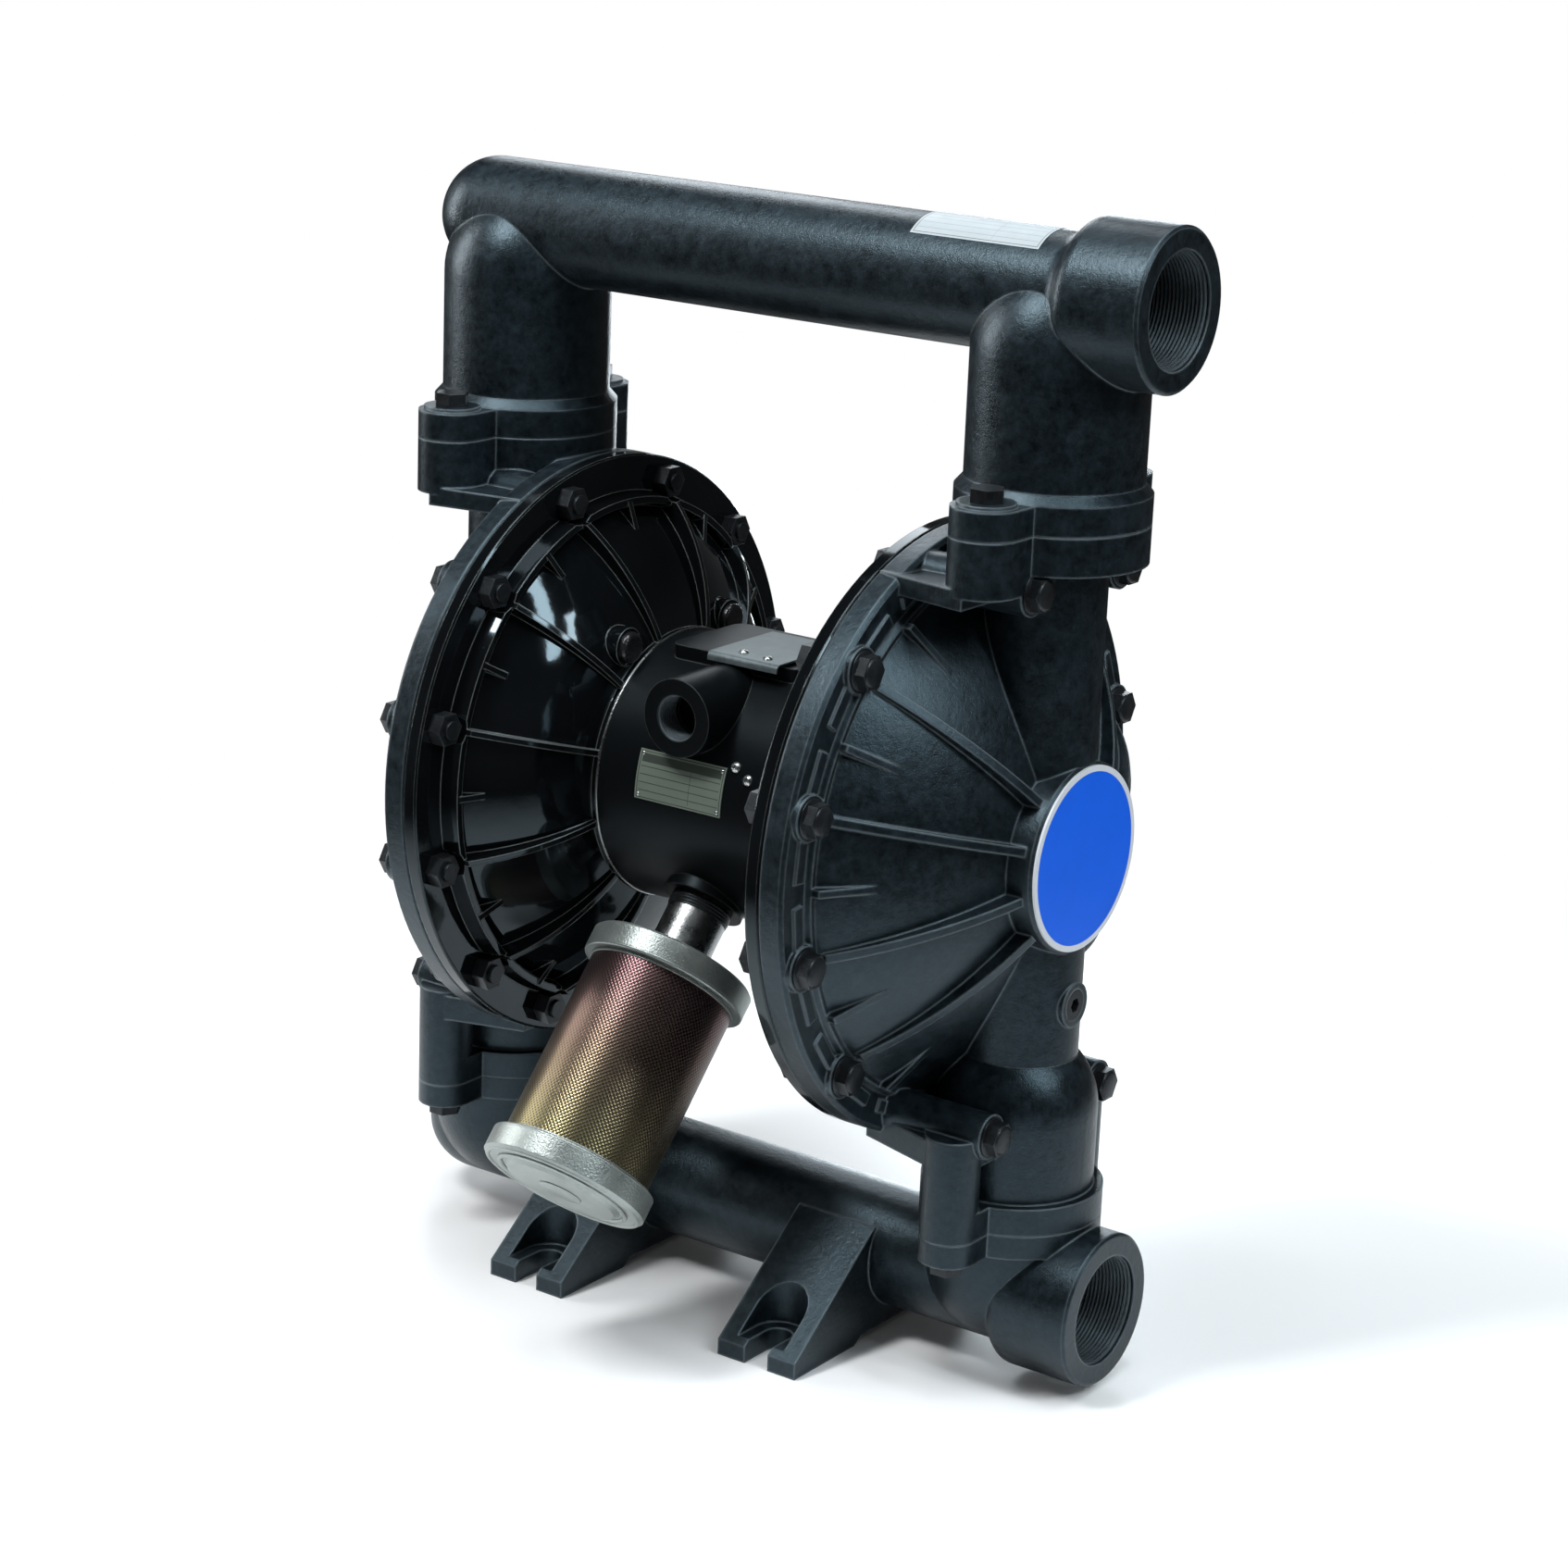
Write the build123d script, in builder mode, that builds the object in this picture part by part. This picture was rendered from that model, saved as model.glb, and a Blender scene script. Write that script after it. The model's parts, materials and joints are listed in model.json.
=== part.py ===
from build123d import *
import os
from math import asin, cos, degrees, radians, sin, tan

# Air operated double diaphragm pump. +X runs along the diaphragm rod towards the ports,
# -Y faces the air inlet, +Z is up. The origin lies on the floor under the pump's centre.

# Heights, stacked from the floor up
inlet_tube_z = 44.3  # axis of the inlet tube
inlet_joint_rise = 44.7  # inlet tube's axis to the joint under the fluid covers
rim_to_inlet_joint = 34.0
rim_r = 162.0
rim_to_outlet_joint = 10.0
outlet_tube_rise = 111.0  # outlet joint to the outlet tube's axis
riser_dome_drop = 28.0  # outlet tube's axis down to the start of the risers' domes

# Lengths along the pump axis, from the centre plane outwards
housing_half = 56.2
air_cover_depth = 58.2
passage_offset = 55.6  # clamped rim to the upright flow passages
port_reach = 64.5  # upright passages to the outlet port's face
inlet_port_short = 3.0  # inlet port's face stands this much further in

# Rim and bolts of the covers
rim_edge = 13.0  # rim to the bolt circle
bowl_edge = 9.0  # bolt circle to the bowl and the diaphragm's bead
rim_bolts = 12
rim_chamfer = 1.0
rim_round = 2.0
bolt_boss_r = 12.0
neck_to_bolt = 11.8  # outlet neck to the axes of the long bolts beside it
elbow_to_bolt = 9.5
tall_boss_over = 18.0  # long bolts' bosses beyond the passages' axes

# Fluid covers
fluid_flange_t = 14.1
rim_step = 3.0  # bowl's land and bolt bosses above the rim's face
fluid_wall = 8.0
bowl_bulge = 6.0
hub_r = 50.0
hub_h = 14.7
hub_step = 0.2  # hub face beyond the necks
hub_chamfer = 1.5
badge_r = 48.5
badge_t = 1.2
rib_t = 5.0
rib_h = 7.5
rib_foot = 8.0  # ribs' feet inside the bowl's edge
rib_end = 5.0  # ribs' inner ends below the hub's face
rib_sink = 4.0
short_rib_t = 4.2
short_rib_h = 39.0  # short ribs fade out this far above the rim's face
short_rib_in = 51.0  # and this far inside the bowl's edge
pad_w = 7.0  # low pads either side of each rim bolt
pad_l = 22.0
pad_h = 1.6
pad_turn = 8.5  # degrees from the bolt
shelf_w = 140.0
shelf_t = 10.0
shelf_drop = 25.0  # outlet joint to the shelf's top
lug_sink = 4.0  # lugs run this far into the shelf
ring_t = 20.0
plug_z = 79.0  # drain boss below the pump axis
plug_r = 8.0
plug_l = 5.0
plug_wall = 4.0
plug_over = 1.0  # drain boss's face beyond the neck
lower_shelf_w = 116.0
lower_shelf_t = 14.0
lower_shelf_over = 6.0  # rim's lowest point to the lower shelf's underside
lower_shelf_in = 4.0  # lower shelf's outer edge short of the long bosses
lower_flange_t = 15.0
lower_ring_over = 5.3  # lower flange ring's radius over the elbow's
column_r = 15.0
column_over = 22.0  # rim's lowest point to the columns' tops
manifold_bolt_grip = 22.0

# Air covers
cover_hub_r = 74.4
air_flange_t = 8.4
air_bowl_step = 3.0
ring_wall_h = 10.0
ring_wall_t = 4.0
air_rib_t = 3.4
air_rib_h = 21.0  # short ribs fade out this far below the rim
air_rib_in = 32.0
nut_pocket_r = 11.0
nut_pocket_h = 20.0
disc_t = 6.0
cover_land = 3.0
rod_hole_gap = 3.0
sense_y = 45.0  # capped ports beside the hub, either side of the top
sense_z = 72.0
sense_r = 7.0
sense_l = 10.0
sense_wall = 3.5
sense_boss_l = 24.0
sense_cap_r = 8.5
sense_cap_h = 4.0
sense_cap_round = 2.5
sense_cap_sink = 1.0
cover_screw_r = 62.0
cover_screws = 6
cover_screw_d = 4.0  # shank's radius
cover_screw_l = 18.0
screw_head_r = 1.6  # screw heads, for each mm of the shank's radius
screw_head_h = 1.5

# Diaphragms and rod
rod_r = 14.0
stroke = 26.0  # each way from the middle
bead_w = 13.0
bead_t = 4.0
roll_h = 10.0  # height of the diaphragm's rolling ring
plate_r = 75.0
plate_edge = 3.0
air_plate_t = 8.4
air_plate_hub = 20.0  # flat of the air plate inside its edge
air_plate_slope = 6.0
fluid_plate_t = 9.6
fluid_plate_hub = 40.0
bearing_wall = 5.0
bearing_l = 30.0
seal_l = 6.0
rod_bolt_grip = 26.0
bolt_end_gap = 2.0  # bolts stop short of their holes' ends

# Check valves
ball_r = 27.0
ball_lift = 14.0
guide_w = 9.0
guide_rib_t = 5.0
guide_ring_h = 6.0
ball_gap = 1.0  # ball to its guide
seat_t = 8.0
seat_land = 2.0  # height of the seat's straight bore below its cone
seat_overlap = 5.2  # ball radius less the seat's bore radius
seat_rim = 7.0  # seat's outer radius less the ball's
seat_slope = 60.0  # degrees above the horizontal
ring_d = 3.0
ring_squash = 0.05
flow_step = 3.0  # ball radius less the passages'
passage_end = 60.0  # passages open into the bowls this far from the pump axis
neck_wall = 6.5
elbow_wall = 6.5
riser_wall = 9.4

# Manifolds
tube_r = 32.0
tube_wall = 6.0
tube_over = 20.0  # left passage to the centre of the tube's round end
port_r = 41.25
port_bore_r = 29.5
port_bore_l = 35.0
port_l = 42.5
port_taper = 16.0  # length of the flare behind the port
port_chamfer = 1.5
flange_over = 4.4  # flange ring's radius over the riser's
flange_slope = 5.0
outlet_flange_t = 15.0
inlet_flange_t = 13.0
lug_r = 18.0
lug_gap = 12.0  # flange ring's edge to the lug bolt's axis
lug_pad_h = 2.0
lug_pad_in = 3.0
elbow_in = 4.0  # inlet elbow's radius inside its flange ring
elbow_inset = 2.0  # elbow's lowest point above the tube's

# Feet
foot_x = 78.5
foot_w = 50.0
foot_reach = 97.0
foot_edge_h = 9.0
foot_slot_r = 7.5
foot_slot_in = 20.0  # front edge to the slot's inner end centre
foot_pocket_r = 15.0
foot_sole_h = 12.0
sole_gap_y = 42.0  # half the gap between the front and rear soles
sole_gap_h = 4.0
sole_gap_slope = 6.0
saddle_reach = 0.85  # of the tube's radius
saddle_rise = 0.6

# Air side of the centre housing
housing_r = 74.0
pad_root_y = 20.0  # front boss and valve pad start this far from the rod
air_port_z = 51.0  # above the pump axis
air_port_y = 80.0
air_port_r = 21.0
air_bore_r = 12.2
air_bore_l = 18.0
top_pad_h = 1.0
top_pad_x = 84.0
top_pad_y = 62.0
top_pad_round = 6.0
boss_root = 30.0  # depth of the top pad and the exhaust boss into the drum
valve_y = 46.0  # spool's axis, behind the rod
spool_r = 12.0
spool_travel = 8.0
spool_end_gap = 2.0
waist_half = 12.4
waist_r = 8.0
cup_w = 5.0
cup_t = 2.5
cup_in = 6.0  # spool's end to the middle of its cup
valve_back_y = 80.0
valve_pad_w = 88.0
valve_pad_h = 64.0
valve_pad_round = 8.0
valve_screw_x = 36.0  # between the cover's screws
valve_screw_z = 50.0
valve_pocket_w = 56.0
valve_pocket_h = 28.0
valve_cover_t = 8.0
cover_edge = 1.5
raised_h = 2.0
raised_round = 4.0
gasket_t = 1.0
carriage_h = 22.0
carriage_pocket_d = 5.0
port_plate_t = 4.0
port_pitch = 9.92
port_l_z = 12.0
port_w = 5.0
screw_r = 3.0
screw_l = 14.0
valve_head_r = 5.1
valve_head_h = 4.8
pin_r = 4.0
pin_z = 38.0
pin_travel = 5.0
pin_l = 44.0
pin_edge = 0.8

# Exhaust muffler, hung at a slant below the front
muffler_angle = 48.0  # degrees below the horizontal
muffler_start = 112.6  # pump axis to the upper cap
exhaust_boss_h = 3.0
exhaust_boss_wall = 6.0
nipple_r = 16.6
nipple_wall = 3.5
nipple_grip = 16.0  # nipple's thread in the drum
nipple_in = 8.0  # and in the upper cap
cap_r = 45.7
cap_h = 14.0
cap_floor = 4.5
cap_edge = 1.5
collar_h = 5.0
collar_wall = 5.0
disc_r = 32.9
disc_h = 2.5
shell_r = 40.5
shell_wall = 1.6
muffler_l = 134.0

# Fasteners
bolt_r = 5.0
bolt_af = 16.0
bolt_head_h = 7.0
nut_h = 8.0
thread_out = 2.0  # bolt's end beyond its nut
rod_bolt_af = 24.0
rod_bolt_head_h = 9.0

# Clearances
hole_gap = 0.5  # round bolts
fit_gap = 0.2  # loose pieces in bores
run_gap = 0.05  # sliding shafts
rest_gap = 0.3  # ball to seat, plate to pin

# Places that follow from the sizes above
inlet_joint_z = inlet_tube_z + inlet_joint_rise
axis_z = inlet_joint_z + rim_to_inlet_joint + rim_r
outlet_joint_z = axis_z + rim_r + rim_to_outlet_joint
outlet_tube_z = outlet_joint_z + outlet_tube_rise
riser_dome_z = outlet_tube_z - riser_dome_drop
clamp_x = housing_half + air_cover_depth
side_x = clamp_x + passage_offset
rim_face_x = clamp_x + fluid_flange_t
bolt_circle_r = rim_r - rim_edge
bowl_r = bolt_circle_r - bowl_edge
cavity_r = bowl_r - bead_w
guide_r = ball_r + guide_w
chamber_r = guide_r + fit_gap
riser_r = chamber_r + riser_wall
elbow_r = chamber_r + elbow_wall
flow_r = ball_r - flow_step
neck_r = flow_r + neck_wall
hub_x = side_x + neck_r + hub_step
hub_root_x = hub_x - hub_h
cavity_x = hub_root_x - fluid_wall
ring_r = riser_r + flange_over
lug_y = ring_r + lug_gap
lower_ring_r = elbow_r + lower_ring_over
lower_lug_y = lower_ring_r + lug_gap
column_top_z = axis_z - rim_r + column_over
plug_x = side_x + neck_r + plug_over
seat_r = ball_r + seat_rim
seat_bore_r = ball_r - seat_overlap
cone_top_r = seat_bore_r + (seat_t - seat_land) / tan(radians(seat_slope))
ball_up = (seat_land - seat_bore_r * tan(radians(seat_slope))
           + (ball_r + rest_gap) / cos(radians(seat_slope)))  # ball's centre above the seat's underside
cage_h = ball_up - seat_t + ball_r + ball_lift + rest_gap
elbow_dome_z = inlet_joint_z + cage_h + guide_rib_t - ball_gap
tall_x = side_x + tall_boss_over
port_x = side_x + port_reach
port_back_x = port_x - port_l
inlet_port_x = port_x - inlet_port_short
inlet_port_back_x = inlet_port_x - port_l
tube_end_x = side_x + tube_over
inlet_elbow_r = lower_ring_r - elbow_in
belly_z = inlet_tube_z - tube_r + elbow_inset
saddle_y = tube_r * saddle_reach
saddle_z = inlet_tube_z + tube_r * saddle_rise
air_rim_x = clamp_x - air_flange_t
air_bowl_x = air_rim_x - air_bowl_step
wall_ring_x = air_rim_x - ring_wall_h
sense_x = housing_half + cover_land
bearing_r = rod_r + bearing_wall
rod_hole_r = bearing_r + rod_hole_gap
air_face_x = clamp_x - bead_t / 2
fluid_face_x = clamp_x + bead_t / 2
rod_half = air_face_x - air_plate_t
plate_face_x = fluid_face_x + fluid_plate_t
pin_tip_x = rod_half - stroke - rest_gap
pin_root_x = pin_tip_x - pin_l
spool_half = housing_half - spool_travel - spool_end_gap
carriage_y = valve_y + waist_r + fit_gap
carriage_back_y = valve_back_y - port_plate_t - rest_gap
exhaust_face = housing_r + exhaust_boss_h
nipple_root = housing_r - nipple_grip
cap_top = muffler_start
cap_bottom = cap_top + muffler_l

pump_axis = Axis((0, 0, axis_z), (1, 0, 0))
section = Plane(origin=(0, 0, axis_z), x_dir=(1, 0, 0), z_dir=(0, -1, 0))
across = Plane(origin=(0, 0, axis_z), x_dir=(0, 1, 0), z_dir=(1, 0, 0))


def radial_plane(angle):
    """Plane through the pump axis: local x along it, local y outwards at the angle."""
    turn = radians(angle)
    return Plane(origin=(0, 0, axis_z), x_dir=(1, 0, 0), z_dir=(0, -sin(turn), cos(turn)))


def upright(x, z):
    """Level plane whose origin is on an upright passage's axis."""
    return Plane(origin=(x, 0, z), x_dir=(1, 0, 0), z_dir=(0, 0, 1))


def passage_section(x):
    """Upright plane through a passage's axis: local x outwards, local y up from the floor."""
    return Plane(origin=(x, 0, 0), x_dir=(1, 0, 0), z_dir=(0, -1, 0))


def across_at(x, z):
    """Plane across the pump at a place along it: local x towards the back, local y up."""
    return Plane(origin=(x, 0, z), x_dir=(0, 1, 0), z_dir=(1, 0, 0))


def tube_section(z):
    """Upright plane along a tube's axis: local x along it, local y up from it."""
    return Plane(origin=(0, 0, z), x_dir=(1, 0, 0), z_dir=(0, -1, 0))


def around(angles):
    """Places on the rim bolts' circle, for sketches on a plane across the pump axis."""
    return [(bolt_circle_r * cos(radians(a)), bolt_circle_r * sin(radians(a))) for a in angles]


bolt_pitch = 360 / rim_bolts
mid_angles = [bolt_pitch * i for i in range(rim_bolts)]
plain_angles = [a + bolt_pitch / 2 for a in mid_angles
                if abs(cos(radians(a + bolt_pitch / 2))) > sin(radians(bolt_pitch))]
top_bolt_angle = degrees(asin((neck_r + neck_to_bolt) / bolt_circle_r))
low_bolt_angle = degrees(asin((elbow_r + elbow_to_bolt) / bolt_circle_r))
tall_angles = [90 - top_bolt_angle, 90 + top_bolt_angle, 270 - low_bolt_angle, 270 + low_bolt_angle]
bolt_angles = plain_angles + tall_angles


def finish(piece, label):
    """Label a finished piece and write it."""
    piece.part.label = label
    export_step(piece.part, f"parts/{label}.step")


os.makedirs("parts", exist_ok=True)

# Fluid covers: a bulged, ribbed bowl with a hub, an upright outlet neck and an inlet elbow

with BuildPart() as fluid_cover_right:
    with BuildSketch(section):
        with BuildLine():
            Polyline((hub_root_x, 0), (clamp_x, 0), (clamp_x, rim_r - rim_chamfer),
                     (clamp_x + rim_chamfer, rim_r),
                     (rim_face_x - rim_round, rim_r), (rim_face_x, rim_r - rim_round),
                     (rim_face_x, bowl_r + rim_step), (rim_face_x + rim_step, bowl_r + rim_chamfer),
                     (rim_face_x + rim_step, bowl_r - rim_round))
            SagittaArc((rim_face_x + rim_step, bowl_r - rim_round), (hub_root_x, hub_r), bowl_bulge)
            Polyline((hub_root_x, hub_r), (hub_x - hub_chamfer, hub_r), (hub_x, hub_r - hub_chamfer),
                     (hub_x, 0), (hub_root_x, 0))
        make_face()
    revolve(axis=pump_axis)
    # Long ribs run from the bolts to the hub, short ones fade out between them
    with BuildSketch(*[radial_plane(angle) for angle in plain_angles]):
        with BuildLine():
            Polyline((rim_face_x - rim_step, bowl_r - rib_foot), (rim_face_x - rim_step, bowl_r - rim_step),
                     (rim_face_x + rib_h, bowl_r - rim_step))
            SagittaArc((rim_face_x + rib_h, bowl_r - rim_step), (hub_x - rib_end, hub_r), bowl_bulge)
            Polyline((hub_x - rib_end, hub_r), (hub_root_x, hub_r - rib_sink),
                     (rim_face_x - rim_step, bowl_r - rib_foot))
        make_face()
    extrude(amount=rib_t / 2, both=True)
    with BuildSketch(*[radial_plane(angle) for angle in mid_angles if angle % 180 != 90]):
        with BuildLine():
            Polyline((rim_face_x - rim_step, bowl_r - rib_foot),
                     (rim_face_x - rim_step, bowl_r + rim_chamfer),
                     (rim_face_x + rib_h, bowl_r + rim_chamfer),
                     (rim_face_x + short_rib_h, bowl_r - short_rib_in),
                     (rim_face_x - rim_step, bowl_r - rib_foot))
        make_face()
    extrude(amount=short_rib_t / 2, both=True)
    # Bosses under the rim bolt heads, tall ones beside the passages
    with BuildSketch(across.offset(clamp_x)):
        with Locations(*around(bolt_angles)):
            Circle(bolt_boss_r)
    extrude(amount=fluid_flange_t + rim_step)
    with BuildSketch(across.offset(clamp_x)):
        with Locations(*around(tall_angles)):
            Circle(bolt_boss_r)
    extrude(amount=tall_x - clamp_x)
    # Low pads on the rim's face, either side of each bolt
    with BuildSketch(across.offset(clamp_x + rim_chamfer)):
        for turn in (-pad_turn, pad_turn):
            with PolarLocations(bolt_circle_r, rim_bolts, start_angle=bolt_pitch / 2 + turn):
                Rectangle(pad_w, pad_l)
    extrude(amount=fluid_flange_t - rim_chamfer + pad_h)
    # Outlet neck with its lugged flange and the shelf that braces it to the rim
    with BuildSketch(upright(side_x, outlet_joint_z)):
        Circle(neck_r)
    extrude(amount=-(outlet_joint_z - axis_z))
    with BuildSketch(upright(side_x, outlet_joint_z)):
        Circle(ring_r)
    extrude(amount=-ring_t)
    with BuildSketch(upright(side_x, outlet_joint_z)):
        SlotCenterToCenter(2 * lug_y, 2 * lug_r, rotation=90)
    extrude(amount=-(shelf_drop + lug_sink))
    with BuildSketch(Plane.XY.offset(outlet_joint_z - shelf_drop)):
        with BuildLine():
            Polyline((clamp_x + rim_chamfer, shelf_w / 2), (clamp_x + rim_chamfer, -shelf_w / 2),
                     (side_x, -lug_y - lug_r), (side_x, lug_y + lug_r),
                     (clamp_x + rim_chamfer, shelf_w / 2))
        make_face()
    extrude(amount=-shelf_t)
    # Inlet elbow: a domed housing on a lugged flange, with columns up to the rim bolt bosses
    with BuildSketch(passage_section(side_x)):
        with BuildLine():
            Line((0, inlet_joint_z), (elbow_r, inlet_joint_z))
            Line((elbow_r, inlet_joint_z), (elbow_r, elbow_dome_z))
            CenterArc((0, elbow_dome_z), elbow_r, 0, 90)
            Line((0, elbow_dome_z + elbow_r), (0, inlet_joint_z))
        make_face()
    revolve(axis=Axis((side_x, 0, 0), (0, 0, 1)))
    with BuildSketch(upright(side_x, inlet_joint_z)):
        Circle(lower_ring_r)
        SlotCenterToCenter(2 * lower_lug_y, 2 * column_r, rotation=90)
    extrude(amount=lower_flange_t)
    with BuildSketch(upright(side_x, inlet_joint_z)):
        with GridLocations(0, 2 * lower_lug_y, 1, 2):
            Circle(column_r)
    extrude(amount=column_top_z - inlet_joint_z)
    with BuildSketch(upright(side_x, axis_z)):
        Circle(neck_r)
    extrude(amount=elbow_dome_z - axis_z)
    with BuildSketch(Plane.XY.offset(axis_z - rim_r + lower_shelf_over)):
        with BuildLine():
            Polyline((clamp_x + rim_chamfer, lower_shelf_w / 2), (clamp_x + rim_chamfer, -lower_shelf_w / 2),
                     (side_x, -lower_lug_y - column_r), (tall_x - lower_shelf_in, -lower_lug_y),
                     (tall_x - lower_shelf_in, lower_lug_y), (side_x, lower_lug_y + column_r),
                     (clamp_x + rim_chamfer, lower_shelf_w / 2))
        make_face()
    extrude(amount=lower_shelf_t)
    with BuildSketch(across.offset(side_x)):
        with Locations((0, -plug_z)):
            Circle(plug_r + plug_wall)
    extrude(amount=plug_x - side_x)
    # Wet side: the bowl's cavity, the outlet passage and the inlet valve chamber
    with BuildSketch(section):
        with BuildLine():
            Polyline((cavity_x, 0), (clamp_x - rim_chamfer, 0), (clamp_x - rim_chamfer, bowl_r + fit_gap),
                     (fluid_face_x, bowl_r + fit_gap), (fluid_face_x, cavity_r))
            SagittaArc((fluid_face_x, cavity_r), (cavity_x, hub_r - bowl_bulge), bowl_bulge)
            Line((cavity_x, hub_r - bowl_bulge), (cavity_x, 0))
        make_face()
    revolve(axis=pump_axis, mode=Mode.SUBTRACT)
    with BuildSketch(upright(side_x, outlet_joint_z)):
        Circle(flow_r)
    extrude(amount=axis_z + passage_end - outlet_joint_z, mode=Mode.SUBTRACT)
    with BuildSketch(upright(side_x, outlet_joint_z)):
        Circle(seat_r + fit_gap)
    extrude(amount=-seat_t, mode=Mode.SUBTRACT)
    with BuildSketch(upright(side_x, axis_z - passage_end)):
        Circle(flow_r)
    extrude(amount=inlet_joint_z - axis_z + passage_end, mode=Mode.SUBTRACT)
    with BuildSketch(passage_section(side_x)):
        with BuildLine():
            Line((0, inlet_joint_z), (chamber_r, inlet_joint_z))
            Line((chamber_r, inlet_joint_z), (chamber_r, elbow_dome_z))
            CenterArc((0, elbow_dome_z), chamber_r, 0, 90)
            Line((0, elbow_dome_z + chamber_r), (0, inlet_joint_z))
        make_face()
    revolve(axis=Axis((side_x, 0, 0), (0, 0, 1)), mode=Mode.SUBTRACT)
    # Holes for the rim bolts, the manifold bolts and the drain plug
    with BuildSketch(across.offset(clamp_x)):
        with Locations(*around(bolt_angles)):
            Circle(bolt_r + hole_gap)
    extrude(amount=tall_x - clamp_x, mode=Mode.SUBTRACT)
    with BuildSketch(upright(side_x, outlet_joint_z)):
        with GridLocations(0, 2 * lug_y, 1, 2):
            Circle(bolt_r + fit_gap)
    extrude(amount=-manifold_bolt_grip, mode=Mode.SUBTRACT)
    with BuildSketch(upright(side_x, inlet_joint_z)):
        with GridLocations(0, 2 * lower_lug_y, 1, 2):
            Circle(bolt_r + fit_gap)
    extrude(amount=manifold_bolt_grip, mode=Mode.SUBTRACT)
    with BuildSketch(across.offset(plug_x)):
        with Locations((0, -plug_z)):
            Circle(plug_r + fit_gap)
    extrude(amount=-plug_l, mode=Mode.SUBTRACT)
finish(fluid_cover_right, "fluid_cover_right")

with BuildPart() as fluid_cover_left:
    mirror(fluid_cover_right.part, about=Plane.YZ)
finish(fluid_cover_left, "fluid_cover_left")

# Air covers: a dished, ribbed bowl whose hub disc closes the end of the centre housing

with BuildPart() as air_cover_right:
    with BuildSketch(section):
        with BuildLine():
            Polyline((clamp_x, 0), (clamp_x, rim_r - rim_chamfer), (clamp_x - rim_chamfer, rim_r),
                     (air_rim_x + rim_chamfer, rim_r), (air_rim_x, rim_r - rim_chamfer),
                     (air_rim_x, bowl_r + rim_round), (wall_ring_x, bowl_r),
                     (wall_ring_x, bowl_r - ring_wall_t), (air_bowl_x, bowl_r - ring_wall_t - rim_round))
            SagittaArc((air_bowl_x, bowl_r - ring_wall_t - rim_round), (sense_x, cover_hub_r), -bowl_bulge)
            Polyline((sense_x, cover_hub_r), (housing_half, cover_hub_r), (housing_half, 0), (clamp_x, 0))
        make_face()
    revolve(axis=pump_axis)
    with BuildSketch(*[radial_plane(angle) for angle in bolt_angles]):
        with BuildLine():
            Polyline((air_rim_x, bowl_r - rib_foot), (air_rim_x, bowl_r),
                     (wall_ring_x - rim_round, bowl_r - rim_chamfer))
            SagittaArc((wall_ring_x - rim_round, bowl_r - rim_chamfer),
                       (housing_half, cover_hub_r + rim_chamfer), -bowl_bulge)
            Polyline((housing_half, cover_hub_r + rim_chamfer), (sense_x, cover_hub_r - rib_sink),
                     (air_rim_x, bowl_r - rib_foot))
        make_face()
    extrude(amount=air_rib_t / 2, both=True)
    with BuildSketch(*[radial_plane(angle) for angle in mid_angles]):
        with BuildLine():
            Polyline((air_rim_x, bowl_r - rib_foot), (air_rim_x, bowl_r), (wall_ring_x, bowl_r - rim_chamfer),
                     (air_rim_x - air_rib_h, bowl_r - air_rib_in), (air_rim_x, bowl_r - rib_foot))
        make_face()
    extrude(amount=air_rib_t / 2, both=True)
    # Pockets in the ring wall leave room for the nuts, which sit on low bosses
    with BuildSketch(across.offset(air_rim_x)):
        with Locations(*around(bolt_angles)):
            Circle(nut_pocket_r)
    extrude(amount=-nut_pocket_h, mode=Mode.SUBTRACT)
    with BuildSketch(across.offset(sense_x)):
        with Locations((-sense_y, sense_z), (sense_y, sense_z)):
            Circle(sense_r + sense_wall)
    extrude(amount=sense_boss_l)
    # Air chamber, rod opening, pilot pin hole, sense ports and bolt holes
    with BuildSketch(section):
        with BuildLine():
            Polyline((housing_half + disc_t, 0), (clamp_x + rim_chamfer, 0),
                     (clamp_x + rim_chamfer, bowl_r + fit_gap), (air_face_x, bowl_r + fit_gap),
                     (air_face_x, cavity_r))
            SagittaArc((air_face_x, cavity_r), (housing_half + disc_t, cover_hub_r - rim_round), -bowl_bulge)
            Line((housing_half + disc_t, cover_hub_r - rim_round), (housing_half + disc_t, 0))
        make_face()
    revolve(axis=pump_axis, mode=Mode.SUBTRACT)
    with BuildSketch(across.offset(housing_half)):
        Circle(rod_hole_r)
        with Locations((0, -pin_z)):
            Circle(pin_r + run_gap)
        with PolarLocations(cover_screw_r, cover_screws, start_angle=180 / cover_screws):
            Circle(cover_screw_d + hole_gap)
    extrude(amount=disc_t, mode=Mode.SUBTRACT)
    with BuildSketch(across.offset(air_rim_x)):
        with Locations(*around(bolt_angles)):
            Circle(bolt_r + hole_gap)
    extrude(amount=air_flange_t, mode=Mode.SUBTRACT)
    with BuildSketch(across.offset(sense_x)):
        with Locations((-sense_y, sense_z), (sense_y, sense_z)):
            Circle(sense_r + fit_gap)
    extrude(amount=sense_l, mode=Mode.SUBTRACT)
finish(air_cover_right, "air_cover_right")

with BuildPart() as air_cover_left:
    mirror(air_cover_right.part, about=Plane.YZ)
finish(air_cover_left, "air_cover_left")

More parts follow.
